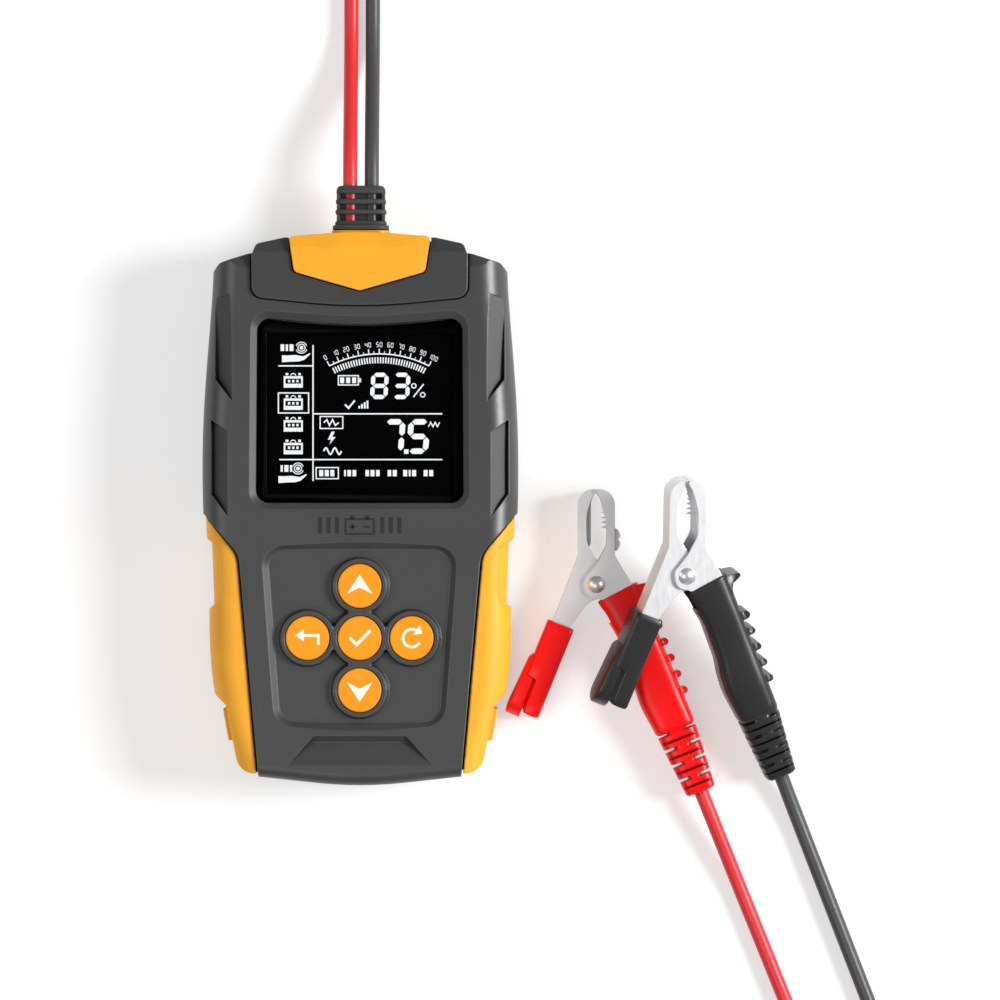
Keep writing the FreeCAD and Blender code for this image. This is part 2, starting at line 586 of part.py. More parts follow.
def torsion_spring():
    """Coil round the rivet; one leg bears on the handle's web and the other on the lever's web."""
    wire_radius, coil_radius, pitch, leg_length = 0.4, 2.3, 0.93, 11.5
    handle_leg = HANDLE_ANGLE + 20.0
    lever_leg = 180.0 - HANDLE_ANGLE - 13.0
    turns = 4 + (lever_leg - handle_leg) / 360
    height = pitch * turns
    section = Part.Wire(Part.makeCircle(wire_radius, Vector(coil_radius, 0, 0), Vector(0, 1, 0)))
    coil = Part.Wire(Part.makeHelix(pitch, height, coil_radius)).makePipeShell([section], True, True)
    coil.rotate(Vector(0, 0, 0), Vector(0, 0, 1), handle_leg)
    legs = []
    for angle, z, way in ((handle_leg, 0, -1), (lever_leg, height, 1)):
        out = Vector(math.cos(math.radians(angle)), math.sin(math.radians(angle)), 0)
        along = Vector(-out.y, out.x, 0) * way
        legs.append(Part.makeCylinder(wire_radius, leg_length, out * coil_radius + Vector(0, 0, z), along))
    spring = coil.multiFuse(legs)
    spring.translate(Vector(0, 0, -height / 2))
    return spring


def handle_boot():
    """PVC handle cover: flared mouth with a guard lip, thumb ridges and a ribbed strain relief."""
    body = prism(with_radius([
        (on_handle(HANDLE_START + 1.2, -5.9), 0.8), (on_handle(11.0, -4.9), 14.0),
        (on_handle(21.0, -4.9), 10.0), (on_handle(26.0, -5.4), 5.0), (on_handle(HANDLE_END, -4.8), 0.5),
        (on_handle(HANDLE_END, 4.4), 0.5), (on_handle(HANDLE_START, 4.4), 0.4),
    ]), -BOOT_HALF, BOOT_HALF)
    lip = prism(with_radius([
        (on_handle(HANDLE_START, 3.5), 0), (on_handle(HANDLE_START + 2.2, 3.5), 0),
        (on_handle(HANDLE_START + 2.0, 5.3), 0.8), (on_handle(HANDLE_START + 1.2, 7.0), 0.4),
        (on_handle(HANDLE_START + 0.5, 7.0), 0.3),
    ]), -BOOT_HALF + 0.6, BOOT_HALF - 0.6)
    pieces = [body, lip]
    for i in range(5):
        s = 13.3 + 3.85 * i
        ridge = [on_handle(s - 0.9, 4.0), on_handle(s + 0.9, 4.0), on_handle(s + 0.7, 5.8),
                 on_handle(s - 0.7, 5.8)]
        pieces.append(prism([(x, y, r) for (x, y), r in zip(ridge, (0, 0, 0.3, 0.3))], -3.4, 3.4))
    relief_start, pitch = HANDLE_END - 0.2, 3.95
    pieces.append(along_handle(3.3, relief_start, RELIEF_END))
    for i in range(4):
        start = relief_start + 1.5 + pitch * i
        pieces.append(along_handle(4.7 - 0.36 * i, start, start + 2.6))
    boot = fuse_all(pieces)
    tail_room = prism(with_radius([
        (on_handle(-2, 3.2 + SLIP), 0), (on_handle(TAIL_END + 0.3, 3.2 + SLIP), 0),
        (on_handle(TAIL_END + 0.3, -3.4 - SLIP), 0), (on_handle(9.5, -3.9), 0),
        (on_handle(8.5, -8.0), 0), (on_handle(-2, -8.0), 0),
    ]), -FIXED_HALF - SLIP, FIXED_HALF + SLIP)
    crimp_room = along_handle(2.4, TAIL_END, 31.0)
    lead_room = along_handle(LEAD_RADIUS + 0.03, 30, 60)
    return boot.cut(Part.makeCompound([tail_room, crimp_room, lead_room])).removeSplitter()


def along_handle(radius, s0, s1):
    start, end = on_handle(s0, 0), on_handle(s1, 0)
    way = Vector(end[0] - start[0], end[1] - start[1], 0)
    return Part.makeCylinder(radius, way.Length, Vector(start[0], start[1], 0), way)


def lead_crimp():
    """Ferrule that joins the lead to the tail of the fixed jaw."""
    return along_handle(2.35, TAIL_END + 0.05, 29.5).cut(along_handle(LEAD_RADIUS + 0.03, 24.0, 31))


def lever_cap():
    """PVC sleeve on the lever, split at its end to leave a thumb tongue that flares outwards."""
    half = CAP_HALF
    sleeve = prism(with_radius([
        (on_lever(11.5, -0.85), 0.5), (on_lever(33.0, -0.85), 0.5), (on_lever(33.6, -4.8), 0.3),
        (on_lever(26.0, -7.2), 0), (on_lever(11.6, -7.2), 0.5),
    ]), -half, half)
    tongue = prism(with_radius([
        (on_lever(25.3, -4.9), 0), (on_lever(34.5, -5.1), 0.8), (on_lever(33.6, -8.7), 1.6),
        (on_lever(20.9, -8.1), 0.5), (on_lever(19.6, -7.0), 0),
    ]), -half + 0.9, half - 0.9)
    room = prism(with_radius([
        (on_lever(9, -1.9 + SLIP), 0), (on_lever(30.5, -1.9 + SLIP), 0), (on_lever(30.5, -6.1 - SLIP), 0),
        (on_lever(9, -6.1 - SLIP), 0),
    ]), -MOVING_HALF - SLIP, MOVING_HALF + SLIP)
    return sleeve.fuse(tongue).cut(room).removeSplitter()


# ---------------------------------------------------------------- clamps placed beside the tester

CLAMP_REST_Z = 5.1                        # rivet height of the clamp that lies flat
RED_PIVOT = Vector(53.4, -17.1, CLAMP_REST_Z)
BLACK_PIVOT = Vector(72.8, -14.35, 16.85)
BLACK_TILT = 15.0                         # the black clamp's lever rests on the red handle
BLACK_RISE = Vector(-0.745, 0.667, 0)     # plan direction in which it rises


def clamp_placement(colour):
    if colour == "red":
        return FreeCAD.Placement(RED_PIVOT, FreeCAD.Rotation())
    axis = Vector(BLACK_RISE.y, -BLACK_RISE.x, 0)
    return FreeCAD.Placement(BLACK_PIVOT, FreeCAD.Rotation(axis, BLACK_TILT))


def save_clamps():
    makers = {
        "fixed_jaw": fixed_jaw, "moving_jaw": moving_jaw, "rivet": rivet, "spring": torsion_spring,
        "handle_boot": handle_boot, "lead_crimp": lead_crimp, "lever_cap": lever_cap,
    }
    for piece, make in makers.items():
        shape = make()
        for colour in ("red", "black"):
            copy = shape.copy()
            copy.Placement = clamp_placement(colour).multiply(copy.Placement)
            save(colour + "_" + piece, copy)


# ---------------------------------------------------------------- leads


def lead_corners(colour):
    """Corners and bend radii of one lead, from the main board round the table to its clamp."""
    outward = LEAD_SPACING / 2 if colour == "red" else -LEAD_SPACING / 2
    x0 = -outward
    top_y, right_x, low_y = 146.0 + outward, 164.0 + outward, -134.0 - outward
    top_bend, low_bend, end_bend = LEAD_BEND + outward, 24.0 + outward, 20.0 + outward
    place = clamp_placement(colour)
    end = place.multVec(Vector(*on_handle(24.3, 0), 0))
    mouth = place.multVec(Vector(*on_handle(RELIEF_END, 0), 0))
    way = (mouth - end).normalize()
    corners = [
        (Vector(x0, 44.0, OUTLET_Z), 0), (Vector(x0, 81.0, OUTLET_Z), 30),
        (Vector(x0, 105.0, LEAD_REST_Z), 40), (Vector(x0, top_y, LEAD_REST_Z), top_bend),
        (Vector(right_x, top_y, LEAD_REST_Z), top_bend), (Vector(right_x, low_y, LEAD_REST_Z), low_bend),
    ]
    if way.z < -0.05:
        landing = [(end + way * ((LEAD_REST_Z - end.z) / way.z), 60)]
    else:
        touch = mouth + way * 26.0
        landing = [(Vector(touch.x, touch.y, LEAD_REST_Z), 40), (mouth + way * 5.0, 40)]
    low_x = landing[0][0].x + way.x * (low_y - landing[0][0].y) / way.y
    corners.append((Vector(low_x, low_y, LEAD_REST_Z), end_bend))
    return corners + landing + [(end, 0)]


def lead(colour):
    """Straight and curved stretches of round cable, joined end to end."""
    corners = lead_corners(colour)
    pieces = []
    at = corners[0][0]

    def straight(start, end):
        pieces.append(Part.makeCylinder(LEAD_RADIUS, (end - start).Length, start, end - start))

    for (before, _), (here, radius), (after, _) in zip(corners, corners[1:], corners[2:]):
        back = (before - here).normalize()
        on = (after - here).normalize()
        half = back.getAngle(on) / 2
        bend_start = here + back * (radius / math.tan(half))
        centre = here + (back + on).normalize() * (radius / math.sin(half))
        straight(at, bend_start)
        ring = Part.Face(Part.Wire(Part.makeCircle(LEAD_RADIUS, bend_start, back * -1)))
        turn = 180 - math.degrees(2 * half)
        pieces.append(ring.revolve(centre, on.cross(back), turn))
        at = here + on * (radius / math.tan(half))
    straight(at, corners[-1][0])
    return fuse_all(pieces)


# ---------------------------------------------------------------- build


def main():
    os.makedirs("parts", exist_ok=True)
    housing = housing_without_grips()
    save("front_shell", front_shell(housing))
    save("rear_shell", rear_shell(housing))
    grip = right_grip()
    save("right_grip", grip)
    save("left_grip", mirror_x(grip))
    save("top_guard", top_guard())
    save("top_badge", top_badge())
    lens = grown_prism(WINDOW, -0.08, LENS_TOP_Z - LENS_THICKNESS, LENS_TOP_Z)
    save("screen_lens", lens)
    save("cable_grommet", cable_grommet())
    save("cable_clip", cable_clip())
    bodies = []
    for name, (x, y) in KEYS.items():
        body, stem = switch_parts(x, y)
        bodies.append(body)
        save(name + "_key", key_cap(x, y))
        save(name + "_switch_stem", stem)
    save("switch_bodies", *bodies)
    electronics()
    save_clamps()
    for colour in ("red", "black"):
        save(colour + "_lead", lead(colour))


main()
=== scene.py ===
"""Looks for the battery tester: materials on the CAD nodes, soft parts, display, symbols, studio."""

import json
import math

import bmesh
import bpy
from mathutils import Matrix, Vector
from mathutils.geometry import tessellate_polygon


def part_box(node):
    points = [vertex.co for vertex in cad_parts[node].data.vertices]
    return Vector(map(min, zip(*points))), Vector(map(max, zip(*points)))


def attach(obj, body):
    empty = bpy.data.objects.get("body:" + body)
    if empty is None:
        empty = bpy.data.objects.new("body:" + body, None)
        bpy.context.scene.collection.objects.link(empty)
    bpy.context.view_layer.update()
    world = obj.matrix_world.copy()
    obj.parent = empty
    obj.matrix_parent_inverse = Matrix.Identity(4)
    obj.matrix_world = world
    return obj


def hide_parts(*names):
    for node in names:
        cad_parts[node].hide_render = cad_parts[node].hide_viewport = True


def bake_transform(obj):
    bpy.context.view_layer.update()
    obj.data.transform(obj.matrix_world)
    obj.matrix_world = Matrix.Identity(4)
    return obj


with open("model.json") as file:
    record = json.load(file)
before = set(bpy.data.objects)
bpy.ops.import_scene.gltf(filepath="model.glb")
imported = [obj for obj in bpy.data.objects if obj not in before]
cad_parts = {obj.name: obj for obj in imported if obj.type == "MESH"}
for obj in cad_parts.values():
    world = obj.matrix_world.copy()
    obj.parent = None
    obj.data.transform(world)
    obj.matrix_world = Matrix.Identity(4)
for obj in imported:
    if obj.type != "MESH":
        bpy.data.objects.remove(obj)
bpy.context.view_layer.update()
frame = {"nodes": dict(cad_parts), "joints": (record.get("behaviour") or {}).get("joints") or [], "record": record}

MM = 0.001                      # the scene is in metres; every size below is in millimetres
nodes = frame["nodes"]
joints = {joint["name"]: joint for joint in frame["joints"]}
KEYS = ("esc", "enter", "reset", "up", "down")

# ---------------------------------------------------------------- driving dimensions (mm)
HANDLE_ANGLE = math.radians(22.0)
HANDLE_OFFSET = 4.5             # handle's centre line from the rivet
LEAD_RADIUS = 1.65
LEAD_SPACING = 4.9              # between the two leads, centre to centre
LEAD_REST_Z = 1.75              # a lead's centre line where it lies on the table
OUTLET_Z = 12.0                 # and where it leaves the case
FACE_Z = 24.0                   # flat face of the case, under the screen
INK_THICKNESS = 0.03            # print on the case and the keys
SEGMENT_THICKNESS = 0.05        # lit segments of the display

# linear colours
ORANGE = (0.90, 0.40, 0.020)
KEY_ORANGE = (0.90, 0.32, 0.003)
SHELL = (0.046, 0.046, 0.047)
RED = (0.85, 0.0015, 0.0015)
BLACK_PVC = (0.018, 0.018, 0.018)
LEAD_RED = (0.72, 0.030, 0.036)
LEAD_GREY = (0.064, 0.064, 0.0656)
STEEL = (0.80, 0.80, 0.81)


# ---------------------------------------------------------------- materials


class Graph:
    """Small helper for wiring a material's nodes."""

    def __init__(self, name):
        self.material = bpy.data.materials.new(name)
        self.material.use_nodes = True
        self.tree = self.material.node_tree
        self.shader = self.tree.nodes["Principled BSDF"]
        self.coords = self.add("ShaderNodeTexCoord").outputs["Object"]

    def add(self, kind, **values):
        node = self.tree.nodes.new(kind)
        for key, value in values.items():
            if key in node.inputs:
                node.inputs[key].default_value = value
            else:
                setattr(node, key, value)
        return node

    def link(self, source, target):
        self.tree.links.new(source, target)

    def noise(self, size_mm, detail=3.0, stretch=(1, 1, 1)):
        mapping = self.add("ShaderNodeMapping")
        mapping.inputs["Scale"].default_value = stretch
        self.link(self.coords, mapping.inputs["Vector"])
        noise = self.add("ShaderNodeTexNoise", Scale=1 / (size_mm * MM), Detail=detail)
        self.link(mapping.outputs["Vector"], noise.inputs["Vector"])
        return noise.outputs["Fac"]

    def remap(self, source, low, high, start=0.3, end=0.7):
        node = self.add("ShaderNodeMapRange")
        for key, value in (("From Min", start), ("From Max", end), ("To Min", low), ("To Max", high)):
            node.inputs[key].default_value = value
        self.link(source, node.inputs["Value"])
        return node.outputs["Result"]

    def mix(self, factor, first, second):
        node = self.add("ShaderNodeMix", data_type="RGBA")
        self.link(factor, node.inputs["Factor"])
        colour_sockets = [s for s in node.inputs if s.type == "RGBA"]
        for socket, value in zip(colour_sockets, (first, second)):
            if isinstance(value, tuple):
                socket.default_value = (*value, 1)
            else:
                self.link(value, socket)
        return [s for s in node.outputs if s.type == "RGBA"][0]

    def bump(self, height, depth_mm, normal=None):
        node = self.add("ShaderNodeBump", Strength=1.0, Distance=depth_mm * MM)
        self.link(height, node.inputs["Height"])
        if normal is not None:
            self.link(normal, node.inputs["Normal"])
        return node.outputs["Normal"]


def shade(colour, factor):
    """The colour made darker or lighter, held at 1."""
    return tuple(min(1.0, c * factor) for c in colour)


def moulded(name, colour, rough=0.45, grain_mm=0.35, grain_depth=0.012, wear_and_highlight=1.35, specular=0.4,
            soft=0.0, edge_mm=0.25, groove_shade=0.35):
    """Moulded plastic or rubber: spark-eroded grain, flow marks, lighter edges and darker grooves.

    The edge factor multiplies the colour on the edges, partly as wear and partly as a painted highlight; the
    groove factor multiplies it in grooves and gaps as painted shade; soft adds a matt sheen.
    """
    cloud_mm, flow_mm, flow_depth, groove_reach = 9.0, 14.0, 0.03, 2.2
    g = Graph(name)
    cloudy = g.noise(cloud_mm, 4.0)
    grain = g.noise(grain_mm, 2.0)
    base = g.mix(g.remap(cloudy, 0, 1), shade(colour, 0.95), shade(colour, 1.05))
    rounded = g.add("ShaderNodeBevel", samples=4, Radius=edge_mm * MM).outputs["Normal"]
    facet = g.add("ShaderNodeNewGeometry").outputs["Normal"]
    agree = g.add("ShaderNodeVectorMath", operation="DOT_PRODUCT")
    g.link(rounded, agree.inputs[0])
    g.link(facet, agree.inputs[1])
    # painted highlight, partly wear: the colour is made lighter on edges found by the rounded normal
    on_edge = g.remap(agree.outputs["Value"], 1.0, 0.0, start=0.8, end=0.98)
    base = g.mix(on_edge, base, shade(colour, wear_and_highlight))
    # painted shade: the colour is made darker in grooves and gaps, where nearby surfaces hide the sky
    open_sky = g.add("ShaderNodeAmbientOcclusion", samples=8, Distance=groove_reach * MM).outputs["AO"]
    base = g.mix(g.remap(open_sky, 0.0, 1.0, start=0.35, end=0.9), shade(colour, groove_shade), base)
    g.link(base, g.shader.inputs["Base Color"])
    g.link(g.remap(grain, rough - 0.03, rough + 0.04), g.shader.inputs["Roughness"])
    bump = g.bump(grain, grain_depth, rounded)
    waves = g.noise(flow_mm, 1.0)
    g.link(g.bump(waves, flow_depth, bump), g.shader.inputs["Normal"])
    g.shader.inputs["Specular IOR Level"].default_value = specular
    if soft:
        g.shader.inputs["Sheen Weight"].default_value = soft
        g.shader.inputs["Sheen Roughness"].default_value = 0.5
    return g.material


def metal(name, colour, rough=0.3, stretch=(1, 0.06, 1), grain_mm=0.5):
    """Rolled or drawn metal: directional grain, blotchy plating and softened edges."""
    blotch_mm, grain_depth, edge_mm = 5.0, 0.002, 0.2
    g = Graph(name)
    rolled = g.noise(grain_mm, 3.0, stretch)
    blotch = g.noise(blotch_mm, 3.0)
    base = g.mix(g.remap(blotch, 0, 1, start=0.3, end=0.8), shade(colour, 0.95), colour)
    g.link(base, g.shader.inputs["Base Color"])
    g.shader.inputs["Metallic"].default_value = 0.8
    g.link(g.remap(rolled, rough - 0.03, rough + 0.06), g.shader.inputs["Roughness"])
    rounded = g.add("ShaderNodeBevel", samples=4, Radius=edge_mm * MM).outputs["Normal"]
    g.link(g.bump(rolled, grain_depth, rounded), g.shader.inputs["Normal"])
    return g.material


def printed(name, colour, rough=0.5):
    """Pad-printed ink with slightly uneven cover."""
    g = Graph(name)
    cover = g.noise(size_mm=0.6)
    g.link(g.mix(g.remap(cover, 0, 1), shade(colour, 0.92), colour), g.shader.inputs["Base Color"])
    g.link(g.remap(cover, rough - 0.05, rough + 0.1), g.shader.inputs["Roughness"])
    return g.material


def glowing(name, colour, strength):
    """Lit display segment with a faint pixel unevenness."""
    g = Graph(name)
    uneven = g.noise(size_mm=2.5, detail=2.0)
    g.link(g.mix(g.remap(uneven, 0, 1), shade(colour, 0.9), colour), g.shader.inputs["Emission Color"])
    g.shader.inputs["Emission Strength"].default_value = strength
    g.shader.inputs["Base Color"].default_value = (0.02, 0.02, 0.02, 1)
    g.shader.inputs["Roughness"].default_value = 0.5
    return g.material


def window(name):
    """Clear hard-coated acrylic: see-through with a weak reflection and faint wipe marks."""
    g = Graph(name)
    wipes = g.noise(size_mm=1.6, detail=4.0, stretch=(1, 0.12, 1))
    clear = g.add("ShaderNodeBsdfTransparent")
    clear.inputs["Color"].default_value = (0.97, 0.97, 0.97, 1)
    gloss = g.add("ShaderNodeBsdfGlossy")
    gloss.inputs["Color"].default_value = (1, 1, 1, 1)
    g.link(g.remap(wipes, 0.04, 0.12), gloss.inputs["Roughness"])
    mix = g.add("ShaderNodeMixShader")
    facing = g.add("ShaderNodeFresnel", IOR=1.06)
    g.link(facing.outputs["Fac"], mix.inputs[0])
    g.link(clear.outputs[0], mix.inputs[1])
    g.link(gloss.outputs[0], mix.inputs[2])
    output = g.tree.nodes["Material Output"]
    g.link(mix.outputs[0], output.inputs["Surface"])
    g.tree.nodes.remove(g.shader)
    return g.material


def light_table(name):
    """Opal acrylic sheet lit faintly from below, so that shadows on it stay pale."""
    g = Graph(name)
    opal = g.noise(size_mm=60.0, detail=2.0)
    darker, lighter = (0.55, 0.55, 0.55), (0.56, 0.56, 0.56)
    g.link(g.mix(g.remap(opal, 0, 1), darker, lighter), g.shader.inputs["Base Color"])
    g.shader.inputs["Roughness"].default_value = 0.8
    g.shader.inputs["Specular IOR Level"].default_value = 0.1
    g.shader.inputs["Emission Color"].default_value = (1, 1, 1, 1)
    g.shader.inputs["Emission Strength"].default_value = 0.5
    return g.material


def circuit(name):
    """Solder-masked laminate with fine copper tracks showing through."""
    track_mm = 6.0
    g = Graph(name)
    tracks = g.add("ShaderNodeTexBrick", Scale=1 / (track_mm * MM))
    g.link(g.coords, tracks.inputs["Vector"])
    green, copper = (0.008, 0.11, 0.04), (0.03, 0.20, 0.07)
    g.link(g.mix(tracks.outputs["Fac"], green, copper), g.shader.inputs["Base Color"])
    g.link(g.remap(g.noise(0.8), 0.3, 0.45), g.shader.inputs["Roughness"])
    g.link(g.bump(tracks.outputs["Fac"], 0.02), g.shader.inputs["Normal"])
    return g.material


def case_plastic(name, colour, wear_and_highlight):
    """Dark plastic of the case: its edges are painted lighter, partly as wear and partly as a painted highlight,
    and its gaps are painted black as shade.
    """
    return moulded(name, colour, rough=0.36, grain_mm=0.30, grain_depth=0.006, wear_and_highlight=wear_and_highlight, specular=0.5,
                   edge_mm=0.45, groove_shade=0.10)


def soft_orange():
    """Overmoulded rubber of the grips."""
    return moulded("orange_tpe", ORANGE, rough=0.50, grain_mm=0.45, grain_depth=0.008, wear_and_highlight=1.1,
                   specular=0.3, soft=0.05, edge_mm=0.35, groove_shade=0.45)


def hard_orange():
    """Plastic of the badge."""
    return moulded("orange_abs", ORANGE, rough=0.38, grain_mm=0.30, grain_depth=0.006, wear_and_highlight=1.1,
                   specular=0.35, edge_mm=0.35, groove_shade=0.55)


def key_plastic():
    """Plastic of the keys, finer than the badge's."""
    return moulded("key_abs", KEY_ORANGE, rough=0.38, grain_mm=0.25, grain_depth=0.005, wear_and_highlight=1.1,
                   specular=0.35, edge_mm=0.3, groove_shade=0.5)


def dark_glass():
    """Unlit ground of the display."""
    return moulded("lcd_glass", (0.0004, 0.0004, 0.0006), rough=0.5, grain_mm=1.5, grain_depth=0.001,
                   wear_and_highlight=1.0, specular=0.02)


def border_print():
    """Black border under the window."""
    return moulded("lens_print", (0.0090, 0.0090, 0.0095), rough=0.5, grain_mm=1.0, grain_depth=0.001,
                   wear_and_highlight=1.0, specular=0.05)


def dipped_pvc(name, colour, rough, wear_and_highlight, specular, groove_shade):
    """Glossy vinyl of the boots and lever caps."""
    return moulded(name, colour, rough=rough, grain_mm=0.5, grain_depth=0.0015, wear_and_highlight=wear_and_highlight, specular=specular,
                   edge_mm=0.3, groove_shade=groove_shade)


def cable_pvc(name, colour, rough):
    """Smooth jacket of the leads."""
    return moulded(name, colour, rough=rough, grain_mm=0.6, grain_depth=0.002, wear_and_highlight=1.0, specular=0.35)


def rubber():
    """Matt rubber of the grommet."""
    return moulded("rubber_dark", (0.050, 0.050, 0.052), rough=0.6, grain_mm=0.4, grain_depth=0.012,
                   wear_and_highlight=1.3, specular=0.3, soft=0.05)


def inner_plastic():
    """Pale plastic of the parts inside."""
    return moulded("white_plastic", (0.78, 0.78, 0.75), rough=0.5)


def chip_resin():
    """Black resin of the chips and switches."""
    return moulded("chip_black", (0.02, 0.02, 0.021), rough=0.55, grain_mm=0.2, grain_depth=0.01)


def cement():
    """Pale cement of the load resistors."""
    return moulded("resistor_cement", (0.62, 0.60, 0.54), rough=0.85, grain_mm=0.5, grain_depth=0.06)


def make_materials():
    """Every material, under the name that slots and pieces ask for."""
    return {
        "dark_abs": case_plastic("dark_abs", SHELL, wear_and_highlight=3.2),
        # painted shade: the top guard is the case's plastic made darker, standing in for the shade on its sloping
        # top
        "shaded_guard_abs": case_plastic("shaded_guard_abs", shade(SHELL, 0.85), wear_and_highlight=3.4),
        "orange_tpe": soft_orange(),
        "orange_abs": hard_orange(),
        "key_abs": key_plastic(),
        "clear_lens": window("clear_lens"),
        "lcd_glass": dark_glass(),
        "white_plastic": inner_plastic(),
        "circuit_board": circuit("circuit_board"),
        "chip_black": chip_resin(),
        "resistor_cement": cement(),
        "steel": metal("steel", STEEL, rough=0.45),
        "rivet_steel": metal("rivet_steel", shade(STEEL, 0.9), rough=0.30, stretch=(1, 1, 1), grain_mm=0.8),
        "spring_steel": metal("spring_steel", (0.30, 0.30, 0.31), stretch=(1, 1, 0.1), grain_mm=0.3),
        "copper_crimp": metal("copper_crimp", (0.70, 0.60, 0.50), rough=0.4),
        "rubber_dark": rubber(),
        "red_pvc": dipped_pvc("red_pvc", RED, rough=0.32, wear_and_highlight=1.0, specular=0.28, groove_shade=0.4),
        "dark_pvc": dipped_pvc("dark_pvc", BLACK_PVC, rough=0.30, wear_and_highlight=1.8, specular=0.42, groove_shade=0.3),
        "red_cable": cable_pvc("red_cable", LEAD_RED, rough=0.36),
        "grey_cable": cable_pvc("grey_cable", LEAD_GREY, rough=0.38),
        "white_ink": printed("white_ink", (0.95, 0.94, 0.82)),
        "dark_ink": printed("dark_ink", (0.010, 0.010, 0.011), rough=0.6),
        "lens_print": border_print(),
        "segment": glowing("segment", (0.95, 0.97, 1.0), strength=1.05),
        "floor": light_table("floor"),
    }


M = make_materials()


def paint_cad_nodes():
    """Gives every CAD node the finish of its slot in the record, or one of its own."""
    special = {"top_guard": "shaded_guard_abs", "red_rivet": "rivet_steel", "black_rivet": "rivet_steel"}
    special.update({key + "_key": "key_abs" for key in KEYS})
    for part in frame["record"]["subparts"]:
        node = nodes[part["node"]]
        material = M[special.get(part["node"], part["material_slot"])]
        node.data.materials.clear()
        node.data.materials.append(material)


# ---------------------------------------------------------------- mesh building


class Shape:
    """Vertices and faces in millimetres, gathered from simple closed pieces into one mesh."""

    def __init__(self):
        self.verts, self.faces = [], []

    def loft(self, rings):
        """Skins a list of rings that have the same number of points, and caps both ends."""
        first, count = len(self.verts), len(rings[0])
        for ring in rings:
            self.verts.extend(ring)
        for i in range(len(rings) - 1):
            a, b = first + i * count, first + (i + 1) * count
            for j in range(count):
                k = (j + 1) % count
                self.faces.append((a + j, a + k, b + k, b + j))
        last = first + (len(rings) - 1) * count
        self.faces.append(tuple(reversed(range(first, first + count))))
        self.faces.append(tuple(range(last, last + count)))

    def slab(self, outline, place, low, high):
        """Prism of an outline of (u, v) points between two heights, placed by place(u, v, w)."""
        self.loft([[place(u, v, low) for u, v in outline], [place(u, v, high) for u, v in outline]])

    def build(self, name, material, matrix=None, bevel=0.0, sharp=40.0):
        """Mesh object of the shape; edges over the sharp angle stay sharp and may be rounded by bevel."""
        weld_mm = 0.001
        mesh = bpy.data.meshes.new(name)
        mesh.from_pydata([tuple(Vector(v) * MM) for v in self.verts], [], self.faces)
        obj = bpy.data.objects.new(name, mesh)
        bpy.context.scene.collection.objects.link(obj)
        if matrix is not None:
            placed = matrix.copy()
            placed.translation = placed.translation * MM
            mesh.transform(placed)
        bm = bmesh.new()
        bm.from_mesh(mesh)
        bmesh.ops.remove_doubles(bm, verts=bm.verts, dist=weld_mm * MM)
        bmesh.ops.recalc_face_normals(bm, faces=bm.faces)
        bm.to_mesh(mesh)
        bm.free()
        mesh.materials.append(material)
        for polygon in mesh.polygons:
            polygon.use_smooth = True
        mesh.set_sharp_from_angle(angle=math.radians(sharp))
        if bevel:
            modifier = obj.modifiers.new("rounded_edges", "BEVEL")
            modifier.width = bevel * MM
            modifier.segments = 3
            modifier.limit_method = "ANGLE"
            modifier.angle_limit = math.radians(sharp)
        return obj


def oval_ring(centre, half_u, half_v, axis_u, axis_v, squareness=2.0, count=36):
    """Ring of points on a superellipse: 2 gives an ellipse, larger numbers a rounded rectangle."""
    ring = []
    for i in range(count):
        angle = 2 * math.pi * i / count
        c, s = math.cos(angle), math.sin(angle)
        u = math.copysign(abs(c) ** (2 / squareness), c) * half_u
        v = math.copysign(abs(s) ** (2 / squareness), s) * half_v
        ring.append(centre + axis_u * u + axis_v * v)
    return ring


def tube(points, radius, count=20):
    """Rings of a round tube along a list of points, turned without twist."""
    rings = []
    side = None
    for i, point in enumerate(points):
        ahead = points[min(i + 1, len(points) - 1)] - points[max(i - 1, 0)]
        ahead.normalize()
        if side is None:
            side = ahead.orthogonal().normalized()
        side = (side - ahead * side.dot(ahead)).normalized()
        rings.append(oval_ring(point, radius, radius, side, ahead.cross(side), count=count))
    return rings


def smooth(t):
    """Eases from 0 to 1, flat at both ends."""
    t = min(max(t, 0.0), 1.0)
    return t * t * (3 - 2 * t)


def curve_value(table, s):
    """Smooth value at s from (s, value) pairs."""
    for (s0, v0), (s1, v1) in zip(table, table[1:]):
        if s <= s1:
            return v0 + (v1 - v0) * smooth((s - s0) / (s1 - s0))
    return table[-1][1]


def soft_grip(side):
    """Overmoulded rubber grip: the CAD outline with every edge rolled over."""
    voxel_mm, rolls = 0.25, 5
    mesh = nodes[side + "_grip"].data.copy()
    obj = bpy.data.objects.new(side + "_grip_skin", mesh)
    bpy.context.scene.collection.objects.link(obj)
    even = obj.modifiers.new("even_mesh", "REMESH")
    even.mode = "VOXEL"
    even.voxel_size = voxel_mm * MM
    even.use_smooth_shade = True
    rolled = obj.modifiers.new("rolled_edges", "SMOOTH")
    rolled.factor = 0.5
    rolled.iterations = rolls
    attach(obj, "tester")
    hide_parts(side + "_grip")


# ---------------------------------------------------------------- clamps' soft parts

# Along and across the handle and the lever, in a clamp's own frame with its rivet at the origin.
HANDLE_WAY = Vector((math.sin(HANDLE_ANGLE), -math.cos(HANDLE_ANGLE), 0))
HANDLE_SIDE = Vector((math.cos(HANDLE_ANGLE), math.sin(HANDLE_ANGLE), 0))
LEVER_WAY = Vector((-math.sin(HANDLE_ANGLE), -math.cos(HANDLE_ANGLE), 0))
LEVER_SIDE = Vector((math.cos(HANDLE_ANGLE), -math.sin(HANDLE_ANGLE), 0))
UP = Vector((0, 0, 1))

